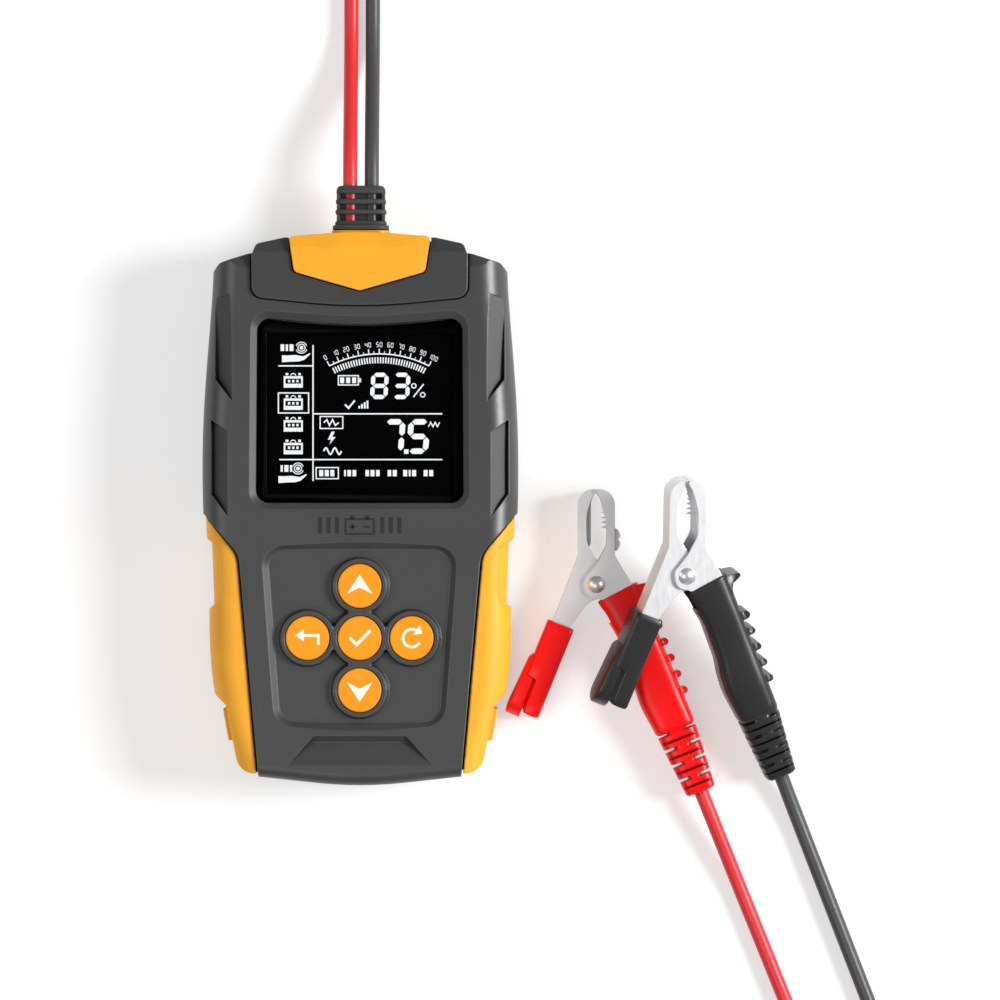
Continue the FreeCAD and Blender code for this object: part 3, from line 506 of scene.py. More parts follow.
# Handle cover: stations s along the handle from the rivet; left, right and half height as (s, value).
BOOT_START, BOOT_END, TAIL_END = 3.4, 37.4, 52.7
BOOT_LEFT = ((3.4, -6.1), (8.0, -5.2), (13.0, -4.6), (21.0, -4.7), (26.0, -5.4), (29.0, -5.6), (38.0, -4.8))
BOOT_RIGHT = ((3.4, 4.4), (38.0, 4.7))
BOOT_HALF = ((3.4, 5.0), (8.0, 4.9), (20.0, 4.7), (28.0, 4.8), (38.0, 4.4))
MOUTH_SKEW = 0.10               # the mouth slants, its left side further down

# Lever cap: stations s along the lever, and the sides of the sleeve and of its thumb tongue.
CAP_LEFT, CAP_RIGHT, CAP_HALF = -7.25, -0.82, 4.2
CAP_START, CAP_END = 11.5, 33.4
SPLIT_LEFT, TONGUE_RIGHT = -4.85, -5.05


def on_handle(s, n, z=0.0):
    return HANDLE_WAY * s + HANDLE_SIDE * (HANDLE_OFFSET + n) + UP * z


def on_lever(s, n, z=0.0):
    return LEVER_WAY * s + LEVER_SIDE * n + UP * z


def clamp_matrix(colour):
    """A clamp's place: where its jaw's hinge is and the way that hinge points, from the frame."""
    hinge = joints[colour + "_jaw_open"]
    tilt = UP.rotation_difference(Vector(hinge["axis"])).to_matrix().to_4x4()
    return Matrix.Translation(Vector(hinge["pos_m"]) / MM) @ tilt


def pvc(colour):
    return "red_pvc" if colour == "red" else "dark_pvc"


def cable(colour):
    return "red_cable" if colour == "red" else "grey_cable"


def boot_ring(s, inset=0.0, skew=0.0):
    """Cross-section of the handle cover at s; skew tilts it so that its left side sits further down."""
    left, right = curve_value(BOOT_LEFT, s) + inset, curve_value(BOOT_RIGHT, s) - inset
    centre = on_handle(s, (left + right) / 2)
    across = HANDLE_SIDE - HANDLE_WAY * skew
    half = curve_value(BOOT_HALF, s) - inset
    return oval_ring(centre, (right - left) / 2, half, across, UP, squareness=4.0, count=48)


def boot_sleeve(shape):
    """Body of the handle cover, from its slanting mouth to the strain relief."""
    stations = [BOOT_START + 0.2, BOOT_START + 0.6] + [5.0 + 1.5 * i for i in range(22)]
    rings = [boot_ring(BOOT_START, 0.25, MOUTH_SKEW)]
    rings += [boot_ring(s, 0.0, MOUTH_SKEW * (1 - smooth((s - 4) / 12))) for s in stations]
    rings += [boot_ring(BOOT_END - 0.25, 0.15), boot_ring(BOOT_END, 0.5), boot_ring(BOOT_END, 1.4)]
    shape.loft(rings)


def boot_lip(shape):
    """Guard lip that carries the mouth's edge outwards."""
    lip = [(3.45, 2.4), (3.6, 4.6), (4.0, 6.6), (4.35, 7.1), (4.9, 6.9), (5.4, 5.9), (5.7, 4.9), (6.9, 4.25),
           (8.5, 3.8), (6.0, 2.6)]
    shape.slab(lip, on_handle, -3.9, 3.9)


def boot_ridges(shape):
    """Half-round thumb ridges on the right, the first one largest."""
    first, pitch, foot, top, half_length = 13.9, 3.95, 3.4, 5.1, 3.3
    arc = [math.radians(-90 + 180 * k / 8) for k in range(9)]
    for i in range(5):
        s = first + pitch * i
        radius = 0.95 if i == 0 else 0.8
        crest = [(s + radius * math.sin(a), top + radius * math.cos(a)) for a in arc]
        shape.slab([(s - radius, foot)] + crest + [(s + radius, foot)], on_handle, -half_length, half_length)


def boot_pocket(colour, material):
    """Room for the jaw's tail, open on the left at the mouth where the moving jaw swings in."""
    room = Shape()
    outline = [(-2, 3.3), (21.5, 3.3), (21.5, -3.5), (9.6, -3.9), (8.6, -8.0), (-2, -8.0)]
    room.slab(outline, on_handle, -3.75, 3.75)
    return room.build(colour + "_boot_room", material, clamp_matrix(colour))


def handle_boot(colour):
    """Dipped cover of the handle, with its ribbed strain relief as a piece of its own."""
    material = M[pvc(colour)]
    shape = Shape()
    boot_sleeve(shape)
    boot_lip(shape)
    boot_ridges(shape)
    boot = shape.build(colour + "_handle_boot_skin", material, clamp_matrix(colour), sharp=42)
    cut_away(boot, boot_pocket(colour, material))
    for piece in (boot, strain_relief(colour, material)):
        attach(piece, colour + "_clamp")
    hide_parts(colour + "_handle_boot")


def cut_away(obj, cutter):
    """Takes the cutter's volume out of the mesh for good, and removes the cutter."""
    cut = obj.modifiers.new("cut", "BOOLEAN")
    cut.operation = "DIFFERENCE"
    cut.solver = "EXACT"
    cut.use_self = True
    cut.object = cutter
    evaluated = obj.evaluated_get(bpy.context.evaluated_depsgraph_get())
    mesh = bpy.data.meshes.new_from_object(evaluated)
    obj.modifiers.clear()
    obj.data = mesh
    bpy.data.objects.remove(cutter)


def strain_relief(colour, material):
    """Flexible tail: one tapered body, slit from its sides and, halfway between, from front and back."""
    pitch, slit_wall = 3.7, 0.08
    side_width, side_depth = 0.85, 2.3
    face_width, face_depth = 0.6, 1.1
    shape = Shape()
    rings = []

    def ring(s, side_cut=0.0, face_cut=0.0):
        share = (s - BOOT_END) / (TAIL_END - BOOT_END)
        half_n, half_z = 4.7 - 1.25 * share - side_cut, 4.2 - 0.9 * share - face_cut
        rings.append(oval_ring(on_handle(s, 0.0), half_n, half_z, HANDLE_SIDE, UP, squareness=4.0, count=48))

    def slit(s, width, side_cut, face_cut):
        ring(s - width / 2)
        ring(s - width / 2 + slit_wall, side_cut, face_cut)
        ring(s + width / 2 - slit_wall, side_cut, face_cut)
        ring(s + width / 2)

    ring(BOOT_END - 0.7, 1.5, 1.0)
    ring(BOOT_END - 0.4, 2.2, 0.3)
    ring(BOOT_END + 0.55, 2.2, 0.0)
    ring(BOOT_END + 0.65)
    for i in range(4):
        if i:
            slit(BOOT_END + 0.25 + pitch * i, side_width, side_depth, 0.0)
        slit(BOOT_END + 2.1 + pitch * i, face_width, 0.0, face_depth)
    ring(TAIL_END - 0.5)
    ring(TAIL_END - 0.1, 0.35, 0.35)
    ring(TAIL_END, 0.9, 0.9)
    shape.loft(rings)
    return shape.build(colour + "_strain_relief", material, clamp_matrix(colour), bevel=0.12, sharp=42)


def cap_sleeve(shape):
    """Sleeve of the lever cap, narrower where the tongue splits off."""

    def ring(s, left, inset=0.0):
        centre = on_lever(s, (left + CAP_RIGHT) / 2)
        half_n = (CAP_RIGHT - left) / 2 - inset
        return oval_ring(centre, half_n, CAP_HALF - inset, LEVER_SIDE, UP, squareness=9.0, count=44)

    mouth = [(17.0, 0.9), (11.9, 0.8), (11.55, 0.45), (CAP_START, 0.2)]
    rings = [ring(s, CAP_LEFT, inset) for s, inset in mouth]
    rings += [ring(s, CAP_LEFT) for s in (11.8, 13.0, 16.0, 19.0, 22.0, 24.8)]
    rings += [ring(s, SPLIT_LEFT) for s in (25.3, 28.0, 31.0, 32.7)]
    rings += [ring(33.2, -4.75, 0.25), ring(CAP_END, -4.2, 0.9)]
    shape.loft(rings)


def cap_tongue(shape):
    """Thumb tongue, rolled over at its end, and the floor of the slit beside it."""
    sections = [(19.6, -7.0, 3.3), (20.2, -7.7, 3.75), (21.0, -8.1, 3.9), (26.0, -8.35, 3.9),
                (31.0, -8.6, 3.9), (32.4, -8.65, 3.6), (33.4, -8.6, 2.9), (34.1, -8.5, 1.9),
                (34.6, -8.3, 0.7)]
    rings = []
    for s, left, half in sections:
        centre = on_lever(s, (left + TONGUE_RIGHT) / 2)
        rings.append(oval_ring(centre, (TONGUE_RIGHT - left) / 2, half, LEVER_SIDE, UP, squareness=7.0))
    shape.loft(rings)
    floor = [(24.0, -6.5), (24.0, -3.5), (32.3, -3.5), (32.3, -6.5)]
    shape.slab(floor, on_lever, -3.5, 3.5)


def lever_cap(colour):
    """Dipped sleeve on the lever; its outer half is split off at the end as a rolled thumb tongue."""
    shape = Shape()
    cap_sleeve(shape)
    cap_tongue(shape)
    cap = shape.build(colour + "_lever_cap_skin", M[pvc(colour)], clamp_matrix(colour), bevel=0.5, sharp=42)
    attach(cap, colour + "_jaw")
    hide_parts(colour + "_lever_cap")


def spring(colour):
    """Torsion spring whose legs bear on the handle and on the lever."""
    wire, coil, pitch, leg = 0.4, 2.3, 0.93, 11.5
    turns, steps, leg_steps = 4, 120, 6
    first = HANDLE_ANGLE + math.radians(20.0)
    last = math.pi - HANDLE_ANGLE - math.radians(13.0)
    sweep = turns * 2 * math.pi + last - first
    height = pitch * sweep / (2 * math.pi)
    points = []
    for i in range(steps + 1):
        angle = first + sweep * i / steps
        z = height * i / steps - height / 2
        points.append(Vector((coil * math.cos(angle), coil * math.sin(angle), z)))
    into = Vector((-math.sin(first), math.cos(first), 0))
    out = Vector((-math.sin(last), math.cos(last), 0))
    lead_in = [points[0] - into * leg * (leg_steps - i) / leg_steps for i in range(leg_steps)]
    lead_out = [points[-1] + out * leg * (i + 1) / leg_steps for i in range(leg_steps)]
    shape = Shape()
    shape.loft(tube(lead_in + points + lead_out, wire, count=10))
    matrix = clamp_matrix(colour)
    obj = shape.build(colour + "_spring_coil", M["spring_steel"], matrix)
    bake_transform(obj)
    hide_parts(colour + "_spring")


# ---------------------------------------------------------------- leads and grommet

# Centre line between the two leads where they lie on the table, and the bend radii at its corners.
LOOP_TOP_Y, LOOP_RIGHT_X, LOOP_LOW_Y = 146.0, 164.0, -134.0
TOP_BEND, LOW_BEND, END_BEND = 30.0, 24.0, 20.0
# Where a lead ends in its handle, and where it leaves the strain relief, from the rivet.
CRIMP_S, RELIEF_S = 24.3, 51.0


def lead_corners(colour):
    """Corners and bend radii of one lead, from the main board round the table to its clamp."""
    outward = LEAD_SPACING / 2 if colour == "red" else -LEAD_SPACING / 2
    top_y, right_x, low_y = LOOP_TOP_Y + outward, LOOP_RIGHT_X + outward, LOOP_LOW_Y - outward
    top_bend, low_bend, end_bend = TOP_BEND + outward, LOW_BEND + outward, END_BEND + outward
    board_y, fall_y, touch_y = 44.0, 81.0, 105.0
    matrix = clamp_matrix(colour)
    end = matrix @ on_handle(CRIMP_S, 0)
    mouth = matrix @ on_handle(RELIEF_S, 0)
    way = (mouth - end).normalized()
    corners = [
        (Vector((-outward, board_y, OUTLET_Z)), 0),
        (Vector((-outward, fall_y, OUTLET_Z)), 30),
        (Vector((-outward, touch_y, LEAD_REST_Z)), 40),
        (Vector((-outward, top_y, LEAD_REST_Z)), top_bend),
        (Vector((right_x, top_y, LEAD_REST_Z)), top_bend),
        (Vector((right_x, low_y, LEAD_REST_Z)), low_bend),
    ]
    if way.z < -0.05:
        landing = [(end + way * ((LEAD_REST_Z - end.z) / way.z), 60)]
    else:
        touch = mouth + way * 26.0
        landing = [(Vector((touch.x, touch.y, LEAD_REST_Z)), 40), (mouth + way * 5.0, 40)]
    low_x = landing[0][0].x + way.x * (low_y - landing[0][0].y) / way.y
    corners.append((Vector((low_x, low_y, LEAD_REST_Z)), end_bend))
    return corners + landing + [(end, 0)]


def rounded_path(corners):
    """Points along a path of straight runs and round bends, about 2 mm apart."""
    step = 2.0
    points = []
    at = corners[0][0]

    def run(a, b):
        count = max(1, int((b - a).length / step))
        points.extend(a + (b - a) * i / count for i in range(count))

    for (before, _), (here, radius), (after, _) in zip(corners, corners[1:], corners[2:]):
        back, on = (before - here).normalized(), (after - here).normalized()
        half = back.angle(on) / 2
        start, end = here + back * radius / math.tan(half), here + on * radius / math.tan(half)
        run(at, start)
        centre = here + (back + on).normalized() * radius / math.sin(half)
        a, b = start - centre, end - centre
        turn = a.angle(b)
        count = max(2, int(radius * turn / step))
        for i in range(count):
            t = turn * i / count
            points.append(centre + (a * math.sin(turn - t) + b * math.sin(t)) / math.sin(turn))
        at = end
    run(at, corners[-1][0])
    points.append(corners[-1][0])
    return points


def lead_piece(name, colour, points):
    """One length of lead along the points."""
    shape = Shape()
    shape.loft(tube(points, LEAD_RADIUS))
    obj = shape.build(name, M[cable(colour)], sharp=60)
    return obj


def lead(colour):
    """A flexible lead along its rounded path; the black one is cut into two pieces near the hinge of black_lift.
    """
    points = rounded_path(lead_corners(colour))
    split = len(points)
    lift_hinge = Vector(joints["black_lift"]["pos_m"]) / MM
    if colour == "black":
        reach = 34
        split = next(i for i, p in enumerate(points)
                     if i > len(points) // 2 and (p - lift_hinge).length < reach)
    main = lead_piece(colour + "_lead_cable", colour, points[:split])
    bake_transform(main)
    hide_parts(colour + "_lead")
    if split < len(points):
        tail = lead_piece("black_lead_tail", colour, points[split - 1:])
        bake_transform(tail)


def grommet():
    """Rubber strain relief: base collars, two rings and an end ring, joined by a core and side posts."""
    shape = Shape()
    x_axis, z_axis = Vector((1, 0, 0)), Vector((0, 0, 1))

    def ring(y, half_x, half_z):
        return oval_ring(Vector((0, y, OUTLET_Z)), half_x, half_z, x_axis, z_axis, squareness=4.0, count=44)

    def band(y0, y1, half_x, half_z, edge=0.25):
        shape.loft([ring(y0, half_x - edge, half_z - edge), ring(y0 + edge, half_x, half_z),
                    ring(y1 - edge, half_x, half_z), ring(y1, half_x - edge, half_z - edge)])

    # collars in the case and at its face
    band(52.7, 53.9, 8.4, 6.6)
    band(53.8, 63.2, 5.4, 3.9)
    band(63.05, 64.3, 6.4, 4.6)
    band(64.2, 65.25, 5.85, 3.4)
    # thin core and side posts: the leads show front and back between the rings
    band(63.0, 72.5, 5.3, 1.2, edge=0.1)
    for x in (-5.1, 5.1):
        post = [(x - 0.35, 63.5), (x + 0.35, 63.5), (x + 0.35, 72.5), (x - 0.35, 72.5)]
        shape.slab(post, lambda u, v, w: Vector((u, v, OUTLET_Z + w)), -2.3, 2.3)
    band(66.75, 67.85, 5.8, 3.2)
    band(69.05, 70.25, 5.7, 3.1)
    # rounded end ring
    shape.loft([ring(71.45, 5.4, 2.9), ring(71.65, 5.6, 3.1), ring(72.4, 5.5, 3.0), ring(72.9, 5.3, 2.8),
                ring(73.25, 4.8, 2.3)])
    obj = shape.build("cable_grommet_skin", M["rubber_dark"], bevel=0.15, sharp=42)
    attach(obj, "tester")
    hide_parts("cable_grommet")


# ---------------------------------------------------------------- flat artwork


class Ink:
    """Flat printed or lit shapes, gathered in millimetres and raised by a hair."""

    def __init__(self):
        self.outlines = []

    def area(self, points):
        self.outlines.append([(float(x), float(y)) for x, y in points])

    def rect(self, x0, y0, x1, y1):
        self.area([(x0, y0), (x1, y0), (x1, y1), (x0, y1)])

    def stroke(self, a, b, width):
        a, b = Vector(a), Vector(b)
        side = (b - a).normalized().orthogonal() * width / 2
        self.area([a + side, a - side, b - side, b + side])

    def path(self, points, width, closed=False):
        """Line of even width with mitred corners."""
        points = [Vector(p) for p in points]
        count = len(points)
        sides = []
        for i, here in enumerate(points):
            before = here - points[i - 1] if closed or i else points[1] - here
            after = points[(i + 1) % count] - here if closed or i < count - 1 else before
            across = (before.normalized() + after.normalized()).normalized().orthogonal()
            across /= max(0.3, across.dot(before.normalized().orthogonal()))
            sides.append((here + across * width / 2, here - across * width / 2))
        for i in range(count if closed else count - 1):
            (a, b), (c, d) = sides[i], sides[(i + 1) % count]
            self.area([a, c, d, b])

    def frame(self, x0, y0, x1, y1, width=0.25):
        self.path([(x0, y0), (x1, y0), (x1, y1), (x0, y1)], width, True)

    def arc(self, centre, radius, start, end, width, count=24):
        """Band of an arc between two angles in degrees."""
        cx, cy = centre
        angles = [math.radians(start + (end - start) * i / count) for i in range(count + 1)]
        for a, b in zip(angles, angles[1:]):
            self.area([(cx + math.cos(t) * r, cy + math.sin(t) * r)
                       for t, r in ((a, radius - width / 2), (b, radius - width / 2),
                                    (b, radius + width / 2), (a, radius + width / 2))])

    def ring(self, centre, radius, width, count):
        """Band of a full circle."""
        self.arc(centre, radius, 0, 360, width, count)

    def disc(self, centre, radius):
        count = 20
        cx, cy = centre
        angles = [2 * math.pi * i / count for i in range(count)]
        self.area([(cx + radius * math.cos(t), cy + radius * math.sin(t)) for t in angles])

    def build(self, name, material, z, body, thickness):
        """One mesh of all the shapes, standing on height z and riding on the body."""
        shape = Shape()
        for outline in self.outlines:
            area = sum(a[0] * b[1] - b[0] * a[1] for a, b in zip(outline, outline[1:] + outline[:1]))
            if area < 0:
                outline = outline[::-1]
            shape.slab(outline, lambda u, v, w: Vector((u, v, w)), z, z + thickness)
        obj = shape.build(name, material, sharp=20)
        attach(obj, body)
        return obj


SEGMENTS = {"0": "abcdef", "1": "bc", "2": "abged", "3": "abgcd", "4": "fgbc", "5": "afgcd", "6": "afgedc",
            "7": "abc", "8": "abcdefg", "9": "abcdfg"}


def digit(ink, value, corner, height, width, bar, slant=0.0, turn=0.0):
    """Seven-segment digit with its lower left corner at the given point, turned about that corner."""
    x, y = corner
    gap = bar * 0.12
    half = height / 2
    ends = {"a": ((0, height), (width, height)), "b": ((width, half), (width, height)),
            "c": ((width, 0), (width, half)), "d": ((0, 0), (width, 0)), "e": ((0, 0), (0, half)),
            "f": ((0, half), (0, height)), "g": ((0, half), (width, half))}
    for name in SEGMENTS[value]:
        a, b = (Vector(p) for p in ends[name])
        way = (b - a).normalized()
        side = Vector((-way.y, way.x)) * bar / 2
        a, b = a + way * gap, b - way * gap
        tip = way * bar / 2
        points = [a, a + tip + side, b - tip + side, b, b - tip - side, a + tip - side]
        c, s = math.cos(turn), math.sin(turn)
        leaned = [(p.x + slant * p.y, p.y) for p in points]
        ink.area([(x + c * u - s * v, y + s * u + c * v) for u, v in leaned])


def battery_icon(ink, x, y):
    """Car battery seen from the side, with a dark label strip left open in its middle."""
    width, height = 4.3, 3.3
    ink.rect(x, y, x + width, y + height * 0.27)
    ink.rect(x, y + height * 0.62, x + width, y + height * 0.78)
    ink.rect(x, y + height * 0.2, x + width * 0.09, y + height * 0.7)
    ink.rect(x + width * 0.91, y + height * 0.2, x + width, y + height * 0.7)
    for i in range(3):
        left = x + width * (0.22 + 0.22 * i)
        ink.rect(left, y + height * 0.36, left + width * 0.12, y + height * 0.53)
    for share in (0.1, 0.76):
        ink.rect(x + width * share, y + height * 0.84, x + width * (share + 0.14), y + height)
    ink.arc((x + width / 2, y + height * 0.8), width * 0.13, 0, 180, 0.2, 8)


def selector_icon(ink, x, y):
    """A ringed dot over an open palm."""
    ink.disc((x, y), 0.42)
    ink.ring((x, y), 0.8, 0.22, 20)
    for start in (20, 200):
        ink.arc((x, y), 1.25, start, start + 140, 0.2, 10)
    palm = [(-4.4, -1.7), (-3.2, -1.75), (-1.4, -1.65), (0.4, -1.95), (2.0, -1.2), (1.9, -1.55), (0.6, -2.75),
            (-0.6, -3.1), (-2.6, -3.15), (-4.4, -3.3)]
    ink.area([(x + u, y + v) for u, v in palm])


def dashes(ink, x, y, lengths, height):
    """A line of short bars standing in for a word."""
    gap = 0.35
    for length in lengths:
        ink.rect(x, y - height / 2, x + length, y + height / 2)
        x += length + gap


def dial(ink):
    """Scale from 0 to 100 on a shallow arc, with a band of fine bars under it."""
    left, right, ends_y, apex_y = -6.9, 15.5, 32.3, 35.0
    divisions, bars = 20, 36
    height, width, step, bar, number_gap = 1.0, 0.46, 0.78, 0.14, 0.45
    half, rise = (right - left) / 2, apex_y - ends_y
    radius = (half * half + rise * rise) / (2 * rise)
    centre = Vector(((left + right) / 2, apex_y - radius))
    spread = math.degrees(math.asin(half / radius))
    ink.arc(centre, radius, 90 + spread, 90 - spread, 0.28, 40)

    def tick(share, inner, outer, line):
        """Draws a radial line and returns the point just outside it and the turn of a number there."""
        angle = math.radians(90 + spread - 2 * spread * share)
        way = Vector((math.cos(angle), math.sin(angle)))
        ink.stroke(centre + way * inner, centre + way * outer, line)
        return centre + way * (outer + number_gap), angle - math.pi / 2

    for i in range(divisions + 1):
        if i % 2:
            tick(i / divisions, radius, radius + 0.6, 0.16)
            continue
        spot, turn = tick(i / divisions, radius, radius + 1.15, 0.24)
        number = str(i * 100 // divisions)
        along = Vector((math.cos(turn), math.sin(turn)))
        spot -= along * (len(number) * step - (step - width)) / 2
        for k, character in enumerate(number):
            digit(ink, character, spot + along * step * k, height, width, bar, turn=turn)
    for i in range(bars):
        tick(0.02 + 0.96 * i / (bars - 1), radius - 2.1, radius - 0.75, 0.3)


# Rules that divide the display: one upright line and three level ones.
COLUMN_X, LEFT_X, RIGHT_X = -10.6, -18.4, 18.5
TOP_RULE_Y, MIDDLE_RULE_Y, LOW_RULE_Y = 32.3, 21.5, 11.2
RULE = 0.3


def display_rules(ink):
    ink.stroke((COLUMN_X, 37.0), (COLUMN_X, 6.4), RULE)
    ink.stroke((LEFT_X, TOP_RULE_Y), (COLUMN_X, TOP_RULE_Y), RULE)
    ink.stroke((COLUMN_X, MIDDLE_RULE_Y), (RIGHT_X, MIDDLE_RULE_Y), RULE)
    ink.stroke((LEFT_X + 0.2, LOW_RULE_Y), (RIGHT_X, LOW_RULE_Y), RULE)


def health_reading(ink):
    """Two digits and a percent sign, with a battery gauge before them and a tick with bars below."""
    for i, value in enumerate("83"):
        digit(ink, value, (2.7 + 4.9 * i, 25.3), 5.0, 3.0, 0.95, slant=0.06)
    ink.stroke((12.0, 25.3), (14.3, 28.2), 0.3)
    for spot in ((12.1, 27.8), (14.1, 25.8)):
        ink.ring(spot, 0.5, 0.25, 14)
    ink.frame(-4.9, 28.0, -0.4, 30.1)
    ink.rect(-0.2, 28.6, 0.2, 29.5)
    for i in range(3):
        ink.rect(-4.5 + 1.35 * i, 28.4, -3.6 + 1.35 * i, 29.7)
    ink.path([(-3.4, 23.6), (-2.6, 22.8), (-1.2, 24.5)], 0.4)
    for i in range(4):
        ink.rect(-0.4 + 0.62 * i, 22.7, 0.0 + 0.62 * i, 23.3 + 0.4 * i)


def resistance_reading(ink):
    """Two large digits with a point, and a small zigzag standing in for the unit."""
    for i, value in enumerate("75"):
        digit(ink, value, (5.4 + 5.6 * i, 13.1), 6.6, 3.7, 1.25, slant=0.08)
    ink.rect(9.9, 12.5, 10.9, 13.5)
    ink.path([(15.4 + 0.5 * i, 19.6 if i % 2 else 18.6) for i in range(6)], 0.25)


def quantity_symbols(ink):
    """Resistor in a frame, bolt and wave."""
    ink.frame(-9.0, 18.2, -3.9, 20.9)
    ink.path([(-8.2, 19.5), (-7.5, 20.2), (-6.9, 18.9), (-6.2, 20.2), (-5.6, 18.9), (-4.8, 19.5)], 0.3)
    bolt = [(-6.4, 17.5), (-7.3, 15.7), (-6.5, 15.7), (-6.9, 14.6), (-5.5, 16.3), (-6.3, 16.3), (-5.7, 17.5)]
    ink.area(bolt)
    ink.path([(-8.2 + 0.25 * i, 13.1 + 0.75 * math.sin(i * math.pi / 4)) for i in range(17)], 0.35)


def side_column(ink):
    """Four kinds of battery, the second one framed, between two selectors with a word's bars each."""
    for y in (27.4, 22.4, 17.5, 12.4):
        battery_icon(ink, -17.2, y)
    ink.frame(-18.4, 21.7, -11.6, 26.2, 0.28)
    selector_icon(ink, -13.2, 36.4)
    selector_icon(ink, -14.0, 9.2)
    dashes(ink, -17.9, 36.4, (0.8, 0.5, 0.9), 1.5)
    dashes(ink, -17.9, 9.2, (0.5, 0.9, 0.5), 1.5)


def choice_row(ink):
    """Six choices along the bottom, the first one framed."""
    ink.frame(-9.9, 6.9, -4.9, 9.4)
    choices = ((-9.2, (0.9, 0.9, 0.9)), (-3.6, (0.4, 0.8, 0.8)), (1.2, (0.8, 0.9, 0.8)),
               (6.2, (0.8, 0.9)), (9.7, (0.9, 0.4, 0.9)), (14.3, (0.9, 0.9)))
    for x, lengths in choices:
        dashes(ink, x, 8.15, lengths, 1.4)


def display():
    """Everything lit on the display, just above the panel."""
    gap = 0.02
    panel_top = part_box("screen_panel")[1].z / MM
    ink = Ink()
    for draw in (display_rules, dial, health_reading, resistance_reading, quantity_symbols, side_column,
                 choice_row):
        draw(ink)
    obj = ink.build("display_segments", M["segment"], panel_top + gap, "tester", SEGMENT_THICKNESS)


def key_symbol(ink, name, x, y):
    """Arrow, return arrow, tick or circular arrow, centred on the key."""
    if name in ("up", "down"):
        way = 1 if name == "up" else -1
        for side in (-1, 1):
            ink.area([(x, y + way * 2.6), (x + side * 2.9, y - way * 1.8), (x, y - way * 0.35)])
    elif name == "esc":
        ink.path([(x + 2.4, y - 1.5), (x + 2.4, y + 0.6), (x - 0.8, y + 0.6)], 0.6)
        ink.area([(x - 2.8, y + 0.6), (x - 0.82, y - 0.75), (x - 0.82, y + 1.95)])
    elif name == "enter":
        ink.path([(x - 2.2, y + 0.1), (x - 0.7, y - 1.5), (x + 2.4, y + 1.7)], 0.7)
    else:
        ink.arc((x, y), 2.0, 62, 330, 0.6, 30)
        ink.area([(x + 2.35, y + 1.05), (x + 0.3, y + 0.75), (x + 1.75, y + 2.95)])


def key_symbols():
    """White symbols printed on the five keys, each on the middle of its key's top."""
    for name in KEYS:
        low, high = (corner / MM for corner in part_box(name + "_key"))
        ink = Ink()
        key_symbol(ink, name, (low.x + high.x) / 2, (low.y + high.y) / 2)
        obj = ink.build(name + "_key_symbol", M["white_ink"], high.z, name + "_button", INK_THICKNESS)


def face_symbol():
    """Dark battery outline between two rows of bars, under the screen."""
    line, bar_half = 0.45, 0.45
    low, high, sign_y = -5.5, -2.2, -3.9
    ink = Ink()
    ink.frame(-3.2, low, 3.2, high, line)
    ink.rect(-2.2, high, -1.2, high + 0.8)
    ink.rect(1.2, high, 2.2, high + 0.8)
    ink.stroke((-2.3, sign_y), (-0.9, sign_y), line)
    ink.stroke((-1.6, sign_y - 0.7), (-1.6, sign_y + 0.7), line)
    ink.stroke((0.9, sign_y), (2.3, sign_y), line)
    for side in (-1, 1):
        for i in range(3):
            x = side * (5.1 + 1.9 * i)
            ink.rect(x - bar_half, low + 0.1, x + bar_half, high + 0.5)
    obj = ink.build("face_battery_symbol", M["dark_ink"], FACE_Z, "tester", INK_THICKNESS)


def lens_print():
    """Black border printed on the underside of the window, whose upper edge sags in the middle."""
    half_width, low, top, sag = 23.0, 1.5, 41.3, 1.9
    inner_half, inner_low, inner_top = 21.0, 3.5, 39.7
    height, thickness = 21.375, 0.02
    outer = [(-half_width - 0.3, low), (half_width + 0.3, low)]
    for i in range(21):
        x = half_width - 2 * half_width * i / 20
        outer.append((x, top + sag * (x / half_width) ** 2))
    inner = [(-inner_half, inner_low), (inner_half, inner_low),
             (inner_half, inner_top), (-inner_half, inner_top)]
    loops = [[Vector((x, y, 0)) for x, y in loop] for loop in (outer, inner)]
    shape = Shape()
    shape.verts = [Vector((p.x, p.y, height)) for p in loops[0] + loops[1]]
    shape.faces = [tuple(f) for f in tessellate_polygon(loops)]
    obj = shape.build("window_border_print", M["lens_print"])
    obj.modifiers.new("ink_thickness", "SOLIDIFY").thickness = thickness * MM
    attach(obj, "tester")


# ---------------------------------------------------------------- studio (metres and watts)

STAGE_CENTRE = (0.03, 0, 0)


def table():
    """The floor the parts lie on, a hair below them."""
    bpy.ops.mesh.primitive_plane_add(size=6, location=(STAGE_CENTRE[0], 0, -0.0002))
    floor = bpy.context.object
    floor.name = "studio_floor"
    floor.data.materials.append(M["floor"])


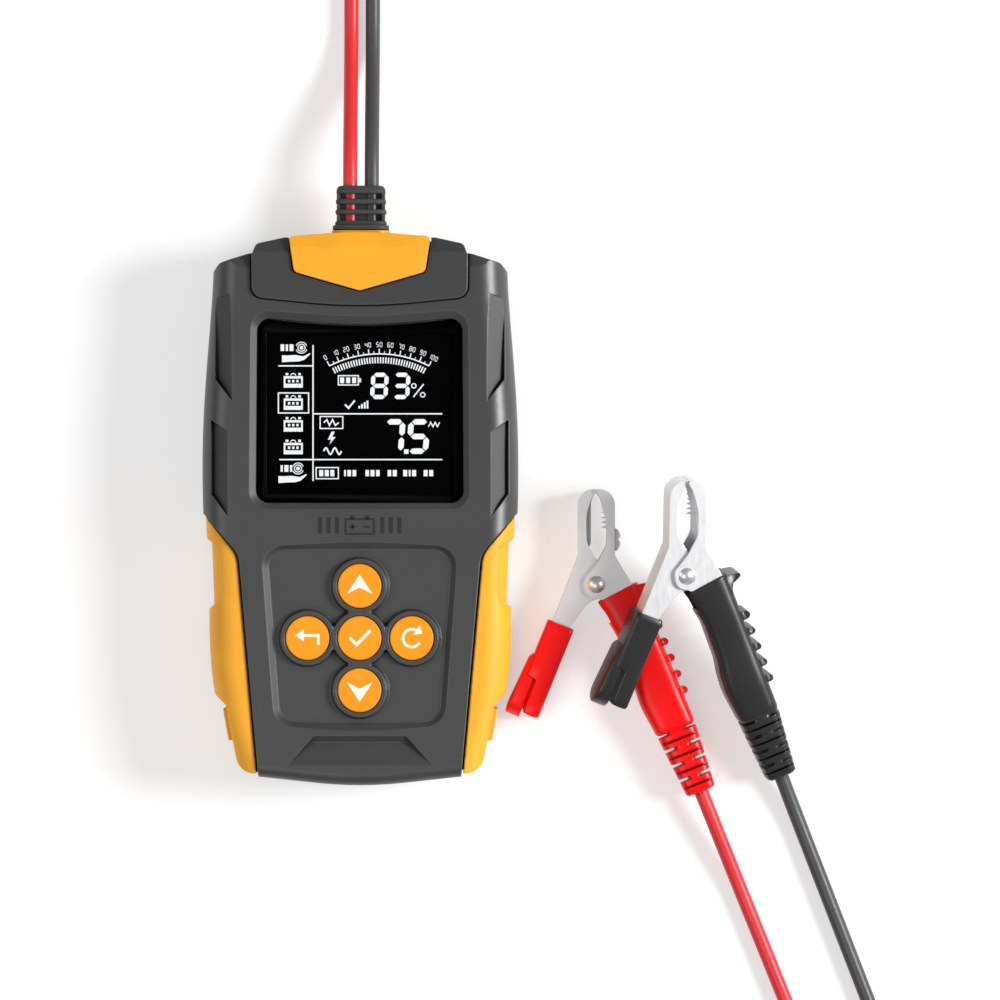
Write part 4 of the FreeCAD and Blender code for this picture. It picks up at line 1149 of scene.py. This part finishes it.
def round_light(name, position, size, power):
    """Round area light aimed at the middle of the stage."""
    data = bpy.data.lights.new(name, "AREA")
    data.shape = "DISK"
    data.size = size
    data.energy = power
    light = bpy.data.objects.new(name, data)
    light.location = position
    light.rotation_mode = "QUATERNION"
    light.rotation_quaternion = (Vector(STAGE_CENTRE) - Vector(position)).to_track_quat("-Z", "Y")
    bpy.context.scene.collection.objects.link(light)


def backdrop():
    """White surroundings that look pale to the camera but light the object only weakly."""
    lighting, seen = 0.25, 0.85
    world = bpy.data.worlds.new("studio")
    world.use_nodes = True
    tree = world.node_tree
    background = tree.nodes["Background"]
    background.inputs["Color"].default_value = (1, 1, 1, 1)
    strength = tree.nodes.new("ShaderNodeMapRange")
    strength.inputs["To Min"].default_value = lighting
    strength.inputs["To Max"].default_value = seen
    tree.links.new(tree.nodes.new("ShaderNodeLightPath").outputs["Is Camera Ray"], strength.inputs["Value"])
    tree.links.new(strength.outputs["Result"], background.inputs["Strength"])
    bpy.context.scene.world = world


def studio():
    table()
    round_light("key_light", (1.05, 0.10, 0.75), size=0.45, power=19)
    round_light("front_light", (-0.40, -0.45, 1.5), size=0.7, power=4)
    round_light("fill_light", (-1.0, 0.1, 0.9), size=0.7, power=3.5)
    backdrop()
    bpy.context.scene.view_settings.view_transform = "Standard"


def camera():
    """Long lens straight above, set back until the view is view_width wide at the case's height."""
    view_width, focus_z = 225.2, 20.0
    data = bpy.data.cameras.new("camera")
    data.lens = 200
    data.sensor_width = 36
    data.clip_end = 20
    distance = view_width * data.lens / data.sensor_width
    cam = bpy.data.objects.new("camera", data)
    cam.location = Vector((31.5, 2.1, focus_z + distance)) * MM
    bpy.context.scene.collection.objects.link(cam)
    bpy.context.scene.camera = cam


# ---------------------------------------------------------------- build

paint_cad_nodes()
soft_grip("left")
soft_grip("right")
for clamp_colour in ("red", "black"):
    handle_boot(clamp_colour)
    lever_cap(clamp_colour)
    spring(clamp_colour)
    lead(clamp_colour)
grommet()
display()
key_symbols()
face_symbol()
lens_print()
studio()
camera()
